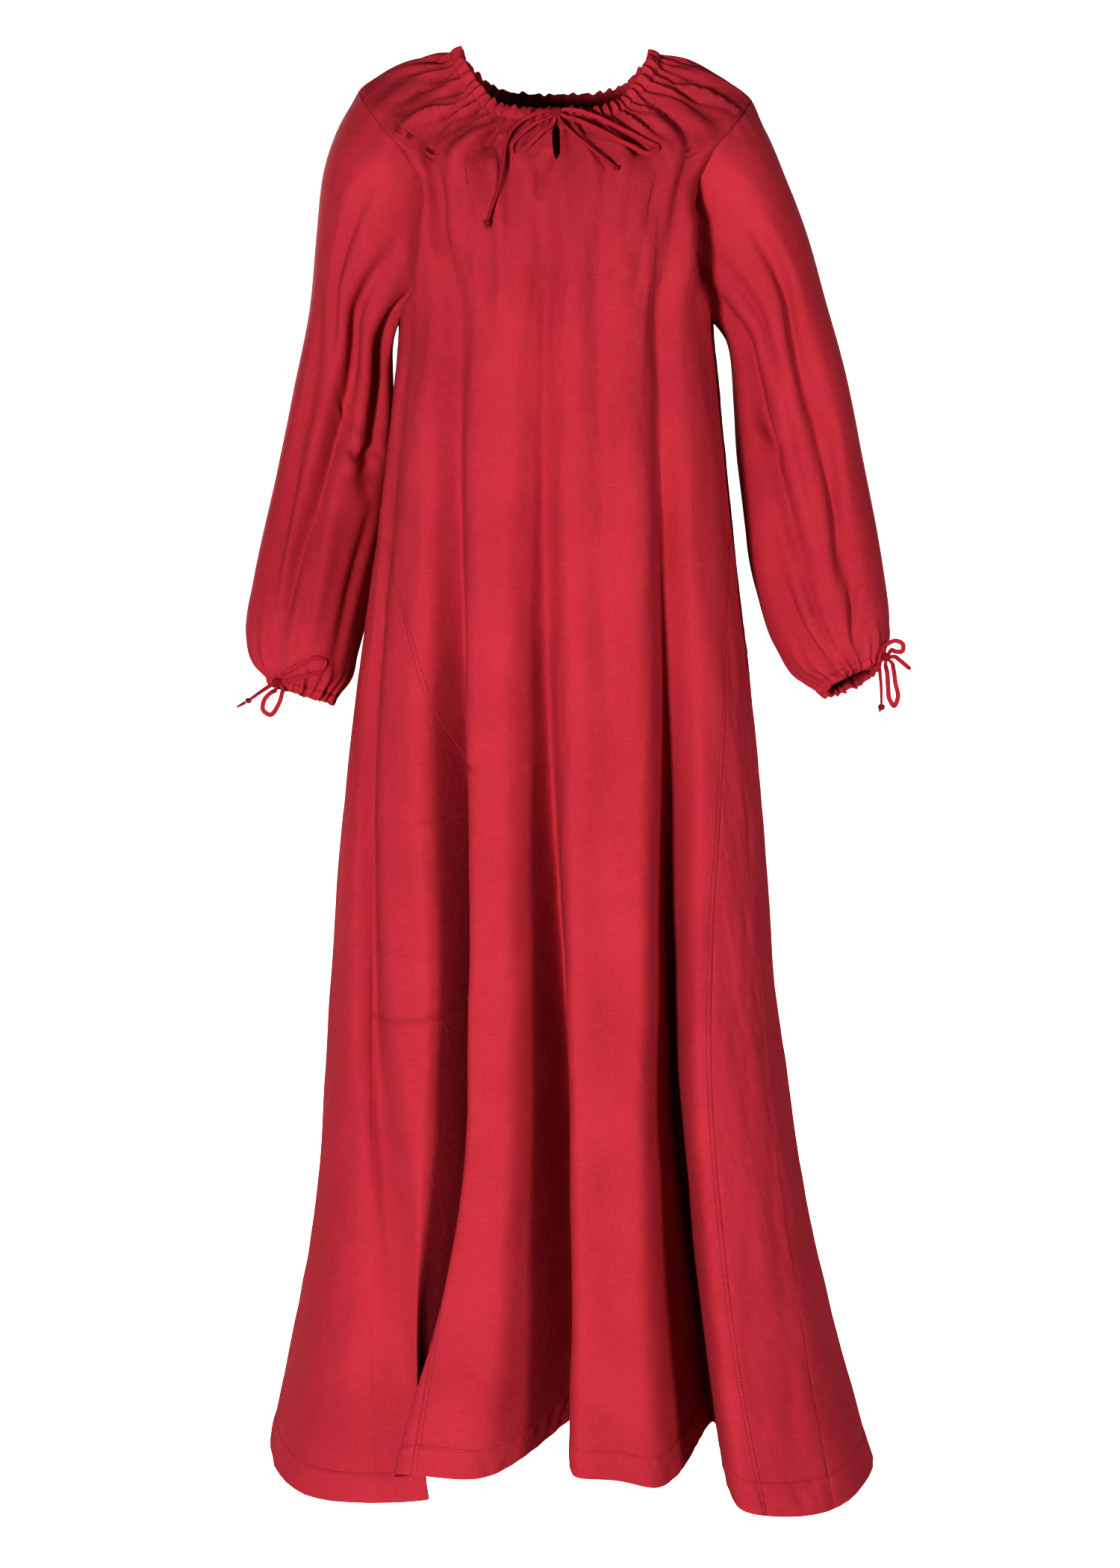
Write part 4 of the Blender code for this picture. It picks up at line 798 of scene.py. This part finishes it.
def hemRelief(fall, across, seed):
    # The turned-up hem stands a little proud, dips at its stitching and rolls slightly along its length
    line = body["hem"] - cloth["hemDepth"]
    inHem = fade(fall, *(line + step for step in sewing["hemStart"]))
    roll = ripple(across, fall * sewing["hemLean"], seed, *sewing["hemWaves"])
    dip = sewing["hemDip"] * bell(fall - line, sewing["hemDipWidth"])
    return inHem * (sewing["hemStand"] + sewing["hemRoll"] * roll) - dip


def panelRelief(turns, points, rowIndex, gatherCount, seed, armSeams, edges):
    fall = falls[rowIndex][:, None] + 0 * turns
    across = runAlong(points)
    middle = across - across.mean(axis=1, keepdims=True)
    height = hemRelief(fall, middle, seed + 1)
    for high, step, *waves in rumples:
        height = height + high * ripple(turns * metresPerDegree, fall, seed + step, *waves)
    height = height + creaseField(turnBetween(turns, 0) * metresPerDegree, fall, creases, metresPerDegree, 1.0)
    if gatherCount:
        share = (turns - turns[0, 0]) / (turns[0, -1] - turns[0, 0])
        height = height + gatherField(share, fall, gatherCount, seed + 3)
    for there, distance, k in ((edges[0], across, 5), (edges[1], across[:, -1:] - across, 6)):
        if there:
            sewn = fade(fall, *(body["shoulder"] + step for step in sewing["armStart"])) if armSeams else 1.0
            height = height + sewn * seamRelief(distance, fall, seed + k)
    return height


def makePanel(start, end, rowIndex, count, seed, gatherCount=0, armSeams=True, edges=(True, True)):
    # The points of one cut piece. start and end give the turns of its edges at a fall.
    turns = np.stack([columnTurns(start(falls[k]), end(falls[k]), falls[k], count, edges) for k in rowIndex])
    points = np.stack([bodySurface(t, falls[k]) for t, k in zip(turns, rowIndex)])
    relief = panelRelief(turns, points, rowIndex, gatherCount, seed, armSeams, edges)
    return points + gridNormals(points) * relief[..., None]


def clothPiece(points, rowIndex, centre):  # laid out flat from the column at its centre
    across = runAlong(points)
    across = across - across[:, centre][:, None]
    return gridPiece(points, np.stack([across, -falls[rowIndex][:, None] + 0 * across], axis=-1))


# The front, cut in one with a slit at the neck that is drawn together by the string
slitHalfWidths = ([0.0, 0.012, 0.026, 0.045, 0.078, 0.094], [0.0009, 0.0016, 0.0036, 0.0042, 0.0034, 0.0])


def slitTurn(side, fall):
    half = float(np.interp(fall, *slitHalfWidths))
    return side * math.degrees(math.asin(half / float(levelValue("right", fall))))


allRows = np.arange(len(falls))
goreRows = np.arange(goreRow, len(falls))
frontLeft = makePanel(lambda f: panelEnds(f)["frontLeft"], lambda f: slitTurn(-1, f), allRows,
                      cloth["frontColumns"], 11, gathers["frontCount"], edges=(True, False))
frontRight = makePanel(lambda f: slitTurn(1, f), lambda f: panelEnds(f)["frontRight"], allRows,
                       cloth["frontColumns"], 21, gathers["frontCount"], edges=(False, True))
back = makePanel(lambda f: panelEnds(f)["backRight"], lambda f: panelEnds(f)["backLeft"] + 360, allRows,
                 cloth["backColumns"], 31, gathers["backCount"])
slitEnd = int(np.argmax(falls > slitHalfWidths[0][-1]))
frontLeft[slitEnd:, -1] = frontRight[slitEnd:, 0] = (frontLeft[slitEnd:, -1] + frontRight[slitEnd:, 0]) / 2
print("front and back shaped:", frontLeft.shape[:2], back.shape[:2])

gores = {}
for name, (inner, outer, count, seed) in {
    "frontGoreLeft": ("sideLeft", "frontGoreLeft", cloth["goreColumns"], 41),
    "frontGoreRight": ("frontGoreRight", "sideRight", cloth["narrowGoreColumns"], 51),
    "backGoreLeft": ("backGoreLeft", "sideLeft", cloth["narrowGoreColumns"], 61),
    "backGoreRight": ("sideRight", "backGoreRight", cloth["narrowGoreColumns"], 71),
}.items():
    gores[name] = makePanel(lambda f: seamTurn(inner, f), lambda f: seamTurn(outer, f), goreRows, count, seed,
                            armSeams=False)
print("gores shaped:", ", ".join(gores))


def joinEdges(first, firstEdge, second, secondEdge, firstRows, secondRows):
    # Brings two sewn edges together, and takes the cloth beside them along
    middle = (first[firstRows, firstEdge] + second[secondRows, secondEdge]) / 2
    for grid, edge, rows in ((first, firstEdge, firstRows), (second, secondEdge, secondRows)):
        part = grid[rows]
        distance = runAlong(part)
        distance = abs(distance - distance[:, edge][:, None])
        grid[rows] = part + (middle - part[:, edge])[:, None] * np.exp(-distance / sewing["joinReach"])[..., None]


for frontHalf, frontEdge, backEdge in ((frontLeft, 0, -1), (frontRight, -1, 0)):
    for rows in (slice(0, shoulderRow + 1), slice(armpitRow, goreRow + 1)):
        joinEdges(frontHalf, frontEdge, back, backEdge, rows, rows)
below, goreAll = slice(goreRow + 1, None), slice(1, None)
joinEdges(frontLeft, 0, gores["frontGoreLeft"], -1, below, goreAll)
joinEdges(gores["frontGoreLeft"], 0, gores["backGoreLeft"], -1, goreAll, goreAll)
joinEdges(back, -1, gores["backGoreLeft"], 0, below, goreAll)
joinEdges(frontRight, -1, gores["frontGoreRight"], 0, below, goreAll)
joinEdges(gores["frontGoreRight"], -1, gores["backGoreRight"], 0, goreAll, goreAll)
joinEdges(back, 0, gores["backGoreRight"], -1, below, goreAll)
for name, grid in gores.items():
    grid[0] = (frontLeft[goreRow, 0] if "Left" in name else frontRight[goreRow, -1])


def sewnCloth(piece, name, merge=True):
    if merge:
        mergeDoubles(0.00003)
    applyModifier(piece, "SOLIDIFY", "cloth", thickness=cloth["thickness"], offset=-1.0)
    return finishPiece(piece, name, "cloth", [nodeOf(name)])


halves = [clothPiece(frontLeft, allRows, -1), clothPiece(frontRight, allRows, 0)]
panels = {"frontPanel": sewnCloth(joined(halves), "frontPanel")}
panels["backPanel"] = sewnCloth(clothPiece(back, allRows, cloth["backColumns"] // 2), "backPanel", merge=False)
for name, grid in gores.items():
    panels[name] = sewnCloth(clothPiece(grid, goreRows, grid.shape[1] // 2), name)
print("panels sewn:", len(panels))


# Sleeves: sections from the armhole to the wrist, with long soft troughs and gathers at the wrist. The sections are
# in millimetres, and their share of the way down and tilt in thousandths.
sleeveNames = ("share", "outX", "outZ", "inX", "inZ", "y", "half", "tilt")
sleeves = {
    "left": {
        "rows": [
            (0, -194, -33, -159, -262, 0, 90, 0),
            (80, -214, -66, -165, -268, 1, 86, 0),
            (160, -229, -108, -167, -280, 10, 80, 0),
            (260, -240, -170, -165, -302, 34, 73, 0),
            (380, -250, -246, -164, -346, 50, 68, 0),
            (520, -268, -330, -167, -404, 58, 66, 0),
            (660, -287, -420, -175, -466, 53, 67, 0),
            (800, -305, -512, -188, -532, 30, 67, 0),
            (900, -311, -568, -197, -584, 8, 60, 0),
            (960, -302, -599, -206, -616, -4, 45, 50),
            (1000, -287, -615, -222, -632, -10, 31, 100)],
        # turn at both ends of the fold, shares where it starts and ends, depth, half width
        "folds": [(112, 62, 0.10, 0.98, 0.022, 12), (150, 128, 0.06, 0.62, 0.020, 11), (54, 40, 0.20, 0.98, 0.008, 14),
                  (236, 244, 0.12, 0.98, 0.013, 16), (306, 300, 0.15, 0.98, 0.010, 15)],
        # points (turn, share), depth and width in millimetres
        "creases": [([(60, 0.10), (66, 0.24), (70, 0.40)], 5.0, 8), ([(104, 0.12), (100, 0.30), (98, 0.52)], 4.0, 9),
                    ([(95, 0.52), (118, 0.54), (140, 0.50)], 4.5, 8), ([(100, 0.60), (122, 0.57), (150, 0.53)], 4.0, 7),
                    ([(84, 0.46), (100, 0.49), (112, 0.47)], 3.0, 6), ([(88, 0.66), (92, 0.80), (90, 0.93)], 3.5, 8),
                    ([(48, 0.62), (52, 0.80), (60, 0.95)], 3.0, 8), ([(140, 0.62), (134, 0.78), (128, 0.94)], 3.0, 8)],
        "seed": 81},
    "right": {
        "rows": [
            (0, 191, -41, 158, -262, 0, 90, 0),
            (80, 211, -77, 164, -268, 1, 86, 0),
            (160, 228, -118, 171, -280, 3, 80, 0),
            (260, 250, -177, 175, -300, 6, 74, 0),
            (380, 271, -246, 177, -342, 9, 70, 0),
            (520, 294, -332, 181, -398, 10, 70, 0),
            (660, 312, -420, 189, -460, 6, 71, 0),
            (800, 327, -505, 200, -524, -2, 69, 0),
            (900, 332, -556, 218, -580, -10, 61, 80),
            (960, 330, -580, 240, -612, -16, 46, 200),
            (1000, 322, -598, 262, -623, -20, 32, 340)],
        "folds": [(148, 104, 0.08, 0.86, 0.020, 12), (78, 64, 0.12, 0.98, 0.015, 12), (140, 128, 0.50, 0.98, 0.007, 12),
                  (240, 244, 0.12, 0.98, 0.013, 16), (306, 296, 0.15, 0.98, 0.010, 15)],
        "creases": [([(118, 0.08), (112, 0.24), (104, 0.42)], 5.0, 8), ([(70, 0.12), (76, 0.30), (80, 0.50)], 4.0, 9),
                    ([(136, 0.44), (124, 0.50), (112, 0.56)], 3.5, 7), ([(96, 0.40), (92, 0.58), (88, 0.74)], 3.5, 9),
                    ([(60, 0.52), (66, 0.66), (74, 0.78)], 3.0, 8), ([(110, 0.78), (104, 0.88), (98, 0.96)], 4.0, 6),
                    ([(60, 0.80), (70, 0.88), (78, 0.96)], 3.5, 6), ([(130, 0.80), (120, 0.90), (112, 0.97)], 3.5, 6)],
        "seed": 91},
}
sleeveCloth = {"gatherHeight": 0.0032, "gatherShare": 0.085, "gatherCount": 21, "length": 0.57, "girth": 0.075,
               "easeShare": 0.07, "settleShare": 0.30, "plainShare": 0.05, "shift": 0.22, "heights": (0.6, 1.3),
               "reaches": (0.6, 1.5), "foldPower": 0.7, "gatherPower": 1.2, "softReach": 16,
               # as the body's rumples, the first measured across the arm and the second from its back to its front
               "rumples": [(0.0008, 1, 6, (0.07, 0.14), (0.12, 0.40)), (0.00005, 2, 8, (0.02, 0.05), (0.03, 0.12))]}
sleeveShares = np.concatenate([[0.0, 0.0016, 0.0040, 0.0070, 0.0105, 0.0145], np.linspace(0.02, 0.82, 88),
                               np.linspace(0.82, 1.0, 48)[1:]])


def armholeLoop(frontEdge, backEdge):
    span = slice(shoulderRow, armpitRow + 1)
    down, up = frontEdge[span], backEdge[span][::-1]
    corners = np.concatenate([down, up[1:-1]])
    middles = (corners + np.roll(corners, -1, axis=0)) / 2
    return np.stack([corners, middles], axis=1).reshape(-1, 3)


def makeSleeve(look, loop):
    # The grid of a sleeve's points from the armhole loop down, and the height of its creases and seam
    rows, seed = 0.001 * np.array(look["rows"]), look["seed"]
    count = len(loop)
    half = count // 2
    along = runAlong(np.vstack([loop, loop[:1]]))
    turns = np.concatenate([along[:half] / along[half] * 180,
                            180 + (along[half:count] - along[half]) / (along[count] - along[half]) * 180])
    even = np.arange(count) * 360.0 / count
    rng = np.random.default_rng(seed)
    pleats = sleeveCloth["gatherCount"]
    spacing = 360 / pleats
    shift = sleeveCloth["shift"]
    sway = [(k + 0.5 + rng.uniform(-shift, shift)) * spacing for k in range(pleats)]
    high = rng.uniform(*sleeveCloth["heights"], pleats)
    reach = rng.uniform(*sleeveCloth["reaches"], pleats) * sleeveCloth["gatherShare"]

    def ring(share, at):
        value = {name: float(smoothCurve(rows[:, 0], rows[:, k], share)) for k, name in enumerate(sleeveNames)}
        outer, inner = (np.array([value[end + "X"], value["y"], value[end + "Z"]]) for end in ("out", "in"))
        middle, arm = (outer + inner) / 2, (outer - inner) / 2
        a = np.radians(at)
        swell = np.zeros(count)
        for start, end, fromShare, toShare, depth, wide in look["folds"]:
            if fromShare < share < toShare:
                local = (share - fromShare) / (toShare - fromShare)
                trough = bell(turnBetween(at, start + (end - start) * local), wide)
                swell -= depth * math.sin(math.pi * local) ** sleeveCloth["foldPower"] * trough
        for k, place in enumerate(sway):
            grown = max(0.0, 1 - (1 - share) / reach[k]) ** sleeveCloth["gatherPower"]
            pleat = 2 * bell(turnBetween(at, place), gathers["halfWidth"] * spacing) - 1 / pleats
            swell += sleeveCloth["gatherHeight"] * high[k] * grown * pleat
        size = 1 + swell / np.hypot(np.linalg.norm(arm) * np.cos(a), value["half"] * np.sin(a))
        depth = value["half"] * np.array([0, -1, value["tilt"]])
        return middle + (np.cos(a)[:, None] * arm + np.sin(a)[:, None] * depth) * size[:, None]

    offset = loop - ring(0.0, turns)
    softOffset = smoothLoop(offset, sleeveCloth["softReach"], True)
    rings, angles = [], []
    for share in sleeveShares:
        settle = float(fade(share, 0, sleeveCloth["settleShare"]))
        at = turns + (even - turns) * settle
        ease = float(fade(share, 0, sleeveCloth["easeShare"]))
        rings.append(loop if share == 0 else ring(share, at) + (offset + (softOffset - offset) * ease) * (1 - settle))
        angles.append(at)
    points, angles = np.array(rings), np.array(angles)
    points = np.concatenate([points, points[:, :1]], axis=1)
    angles = np.concatenate([angles, angles[:, :1] + 360], axis=1)
    shares = sleeveShares[:, None] + 0 * angles
    girth, length = sleeveCloth["girth"], sleeveCloth["length"]
    across, down = angles / 360 * math.tau * girth, shares * length
    height = creaseField(across, down, look["creases"], math.tau * girth / 360, length)
    for turned, (rise, step, *waves) in zip((np.cos, np.sin), sleeveCloth["rumples"]):
        height = height + rise * ripple(turned(np.radians(angles)) * girth, down, seed + step, *waves)
    height = height * fade(shares, 0.0, sleeveCloth["plainShare"])
    height = height + seamRelief(down, across, seed + 3) * fade(shares, 0, 0.001)
    height[:, -1] = height[:, 0]
    return points, height


def sleeveUv(points):
    across = runAlong(points)
    down = runAlong(points.mean(axis=1))
    return np.stack([across - across[:, -1:] / 2, -down[:, None] + 0 * across], axis=-1)


def sleeveNormals(side):
    return gridNormals(sleevePoints[side], wrap=True) * (-1 if side == "right" else 1)


sleevePoints = {}
for side, edges in (("left", (frontLeft[:, 0], back[:, -1])), ("right", (frontRight[:, -1], back[:, 0]))):
    sleevePoints[side], height = makeSleeve(sleeves[side], armholeLoop(*edges))
    points = sleevePoints[side] = sleevePoints[side] + sleeveNormals(side) * height[..., None]
    name = "sleeve" + side.capitalize()
    panels[name] = sewnCloth(gridPiece(points, sleeveUv(points), True, side == "right"), name, merge=False)
print("sleeves set in:", sleevePoints["left"].shape[:2])


# Casings: the tunnels that the drawstrings run in, drawn into small pleats
casings = {"neck": {"height": 0.0130, "depth": 0.0044, "upright": 0.45, "closed": False, "seed": 101, "pleats": 62},
           "cuff": {"height": 0.0105, "depth": 0.0040, "upright": 0.0, "closed": True, "seed": 111,
                    "pleats": sleeveCloth["gatherCount"]},
           "pleat": 0.0011, "pleatShares": (0.7, 0.5), "strayWaves": (5, (0.006, 0.013), (1, 2)), "ruffle": 0.0008,
           "ruffleWaves": (6, (0.007, 0.020), (1, 2)), "sides": 14, "overlap": 0.0016, "flatness": 0.75,
           "shoulder": 0.55, "shoulderPower": 0.5, "pleatPower": 0.7, "softReach": 5, "slopeReach": 9}


def makeCasing(name, look, edge, below, outward):
    closed, seed = look["closed"], look["seed"]
    soft = smoothLoop(edge, casings["softReach"], closed)
    along = unit(np.roll(soft, -1, 0) - np.roll(soft, 1, 0)) if closed else unit(np.gradient(soft, axis=0))
    if not closed:
        along[:3] = along[-3:] = [1.0, 0, 0]
    slope = unit(smoothLoop(edge - below, casings["slopeReach"], closed)) + [0, 0, look["upright"]]
    up = squareTo(slope, along)
    out = np.cross(along, up)
    out = out * np.sign(np.sum(out * outward, axis=1, keepdims=True))
    run = runAlong(soft)
    evenPleats, strayPleats = casings["pleatShares"]
    pleat = casings["pleat"] * (evenPleats * np.sin(math.tau * look["pleats"] * run / run[-1])
                                + strayPleats * ripple(run, 0 * run, seed, *casings["strayWaves"]))
    top = casings["ruffle"] * ripple(run, 0 * run, seed + 1, *casings["ruffleWaves"])
    around = np.arange(casings["sides"] + 1) * math.tau / casings["sides"] - math.pi / 2
    rise = (np.sin(around) + 1) / 2
    middling = np.sin(math.pi * np.clip(rise, 0, 1))
    fullness = casings["shoulder"] + (1 - casings["shoulder"]) * middling ** casings["shoulderPower"]
    bulge = signedPower(np.cos(around), casings["flatness"]) * fullness
    middle = edge - up * casings["overlap"] - out * cloth["thickness"] / 2
    tall = (look["height"] + top)[:, None] * rise[None, :]
    swell = look["depth"] / 2 * bulge[None, :] + pleat[:, None] * middling[None, :] ** casings["pleatPower"]
    rings = swept(middle, up, out, tall, swell)
    if closed:
        rings = np.concatenate([rings, rings[:1]])
        run = np.append(run, run[-1] + np.linalg.norm(rings[-1, 0] - rings[-2, 0]))
    girth = runAlong(rings)
    piece = gridPiece(rings, np.stack([girth, run[:, None] + 0 * girth], axis=-1), closed=True)
    closeTube(openEnds=not closed)
    panels[name] = finishPiece(piece, name, "cloth", [nodeOf(name)], smoothAngle=70.0)


def roundNeck(left, behind, right):  # one line round the neck, from one side of the slit to the other
    return np.concatenate([left[::-1], behind[::-1][1:-1], right[::-1]])


neckEdge, neckBelow = (roundNeck(frontLeft[row], back[row], frontRight[row]) for row in (0, 2))
neckOut = roundNeck(*(gridNormals(grid)[0] for grid in (frontLeft, back, frontRight)))
makeCasing("neckCasing", casings["neck"], neckEdge, neckBelow, smoothLoop(neckOut, casings["slopeReach"], False))
for side, points in sleevePoints.items():
    makeCasing("cuffCasing" + side.capitalize(), casings["cuff"], points[-1, :-1], points[-3, :-1],
               sleeveNormals(side)[-1, :-1])
print("casings drawn in")


# Stitching: short raised threads along the seams, the hem and under the casings
def stitchLine(line, outward):
    # Starts, ends and normals of the stitches along a line of points on the cloth
    run = runAlong(line)
    pitch = sewing["stitchLength"] + sewing["stitchGap"]
    count = int(run[-1] / pitch)
    begin = np.arange(count) * pitch
    ahead = ((0, line), (sewing["stitchLength"], line), (pitch / 2, outward))
    starts, ends, facing = (eachAxis(lambda column: np.interp(begin + step, run, column), points)
                            for step, points in ahead)
    return starts, ends, unit(facing)


def stitchesPiece(lines, name):
    deselectAll()
    bpy.ops.mesh.primitive_uv_sphere_add(segments=5, ring_count=4, radius=1.0)
    model = bpy.context.object
    shape = np.array([v.co[:] for v in model.data.vertices])
    faces = [list(p.vertices) for p in model.data.polygons]
    starts, ends, outs = (np.concatenate(part) for part in zip(*[stitchLine(*line) for line in lines]))
    along = unit(ends - starts)
    out = squareTo(outs, along)
    side = np.cross(along, out)
    half = np.linalg.norm(ends - starts, axis=1)[:, None, None] / 2
    radius = sewing["stitchRadius"]
    middle = (starts + ends) / 2 + out * radius * sewing["stitchLift"]
    corners = (middle[:, None] + along[:, None] * shape[None, :, 2:3] * half
               + out[:, None] * shape[None, :, 0:1] * radius + side[:, None] * shape[None, :, 1:2] * radius)
    count, size = len(starts), len(shape)
    mesh = bpy.data.meshes.new(name)
    polygons = [[k * size + v for v in face] for k in range(count) for face in faces]
    mesh.from_pydata(corners.reshape(-1, 3).tolist(), [], polygons)
    mesh.uv_layers.new(name="UVMap")
    model.data = mesh
    finishPiece(model, name, "thread", smoothAngle=80.0)
    return count


def lineAcross(grid, row):
    return grid[row], gridNormals(grid)[row]


mainGrids = (frontLeft, frontRight, back)
seamLines = []
for grid, sewnEdges in zip(mainGrids, ((0,), (-1,), (0, -1))):
    normals = gridNormals(grid)
    for edge in sewnEdges:
        for step in sewing["stitchRows"]:
            column = step if edge == 0 else -1 - step
            for span in (slice(shoulderRow + 2, armpitRow), slice(goreRow + 3, None)):
                seamLines.append((grid[span, column], normals[span, column]))
hemLines = [lineAcross(grid, hemRow) for grid in mainGrids]
hemLines += [lineAcross(grid, hemRow - goreRow) for grid in gores.values()]
hemLines += [lineAcross(grid, sewing["neckStitchRow"]) for grid in mainGrids]
hemLines += [(points[-2], sleeveNormals(side)[-2]) for side, points in sleevePoints.items()]
print("stitches sewn:", stitchesPiece(seamLines, "seamStitches") + stitchesPiece(hemLines, "hemStitches"))


# Floor and soft light
studio = {
    "floorHeight": -1.62, "floorSize": 80.0, "floorColour": (0.55, 0.55, 0.55), "floorGlow": 1.2, "backdrop": 1.0,
    "floorRoughness": 0.9, "ambient": 0.02,
    # place, aim, size, watts
    "lights": [((-1.35, -3.45, -0.8), (0, 0, -0.72), 0.5, 124.0), ((3.1, -2.1, -0.3), (0, 0, -0.75), 1.0, 54.0),
               ((-0.8, -2.4, 2.2), (0, 0, -0.5), 0.9, 5.0), ((-1.4, 2.8, 0.6), (0, 0, -0.6), 1.4, 90.0),
               ((1.8, 2.6, 0.6), (0, 0, -0.7), 1.6, 24.0)],
}
bpy.ops.mesh.primitive_plane_add(size=studio["floorSize"], location=(0, 0, studio["floorHeight"]))
floor = bpy.context.object
floor.name = "studioFloor"
floorPaint = bpy.data.materials.new("palePaper")
floorPaint.use_nodes = True
paint = floorPaint.node_tree
seen = addNode(paint, "ShaderNodeLightPath").outputs["Is Camera Ray"]
feed(paint, paint.nodes["Principled BSDF"], {
    "Base Color": (*studio["floorColour"], 1), "Roughness": studio["floorRoughness"], "Emission Color": (1, 1, 1, 1),
    "Emission Strength": mathNode(paint, "MULTIPLY", seen, studio["floorGlow"])})
floor.data.materials.append(floorPaint)

world = bpy.data.worlds.new("paleStudio")
world.use_nodes = True
bpy.context.scene.world = world
sky = world.node_tree
seen = addNode(sky, "ShaderNodeLightPath").outputs["Is Camera Ray"]
strength = addNode(sky, "ShaderNodeMix", {0: seen, 2: studio["ambient"], 3: studio["backdrop"]}, data_type="FLOAT")
feed(sky, sky.nodes["Background"], {"Color": (1, 1, 1, 1), "Strength": strength.outputs[0]})
for k, (place, aim, size, watts) in enumerate(studio["lights"]):
    bpy.ops.object.light_add(type="AREA", location=place)
    lamp = bpy.context.object
    lamp.name = f"softLight{k + 1}"
    lamp.data.shape, lamp.data.size, lamp.data.energy = "SQUARE", size, watts
    aimAt(lamp, place, aim)
bpy.context.scene.view_settings.view_transform = "Standard"
bpy.context.scene.view_settings.look = "High Contrast"
print("floor and", len(studio["lights"]), "lights set")
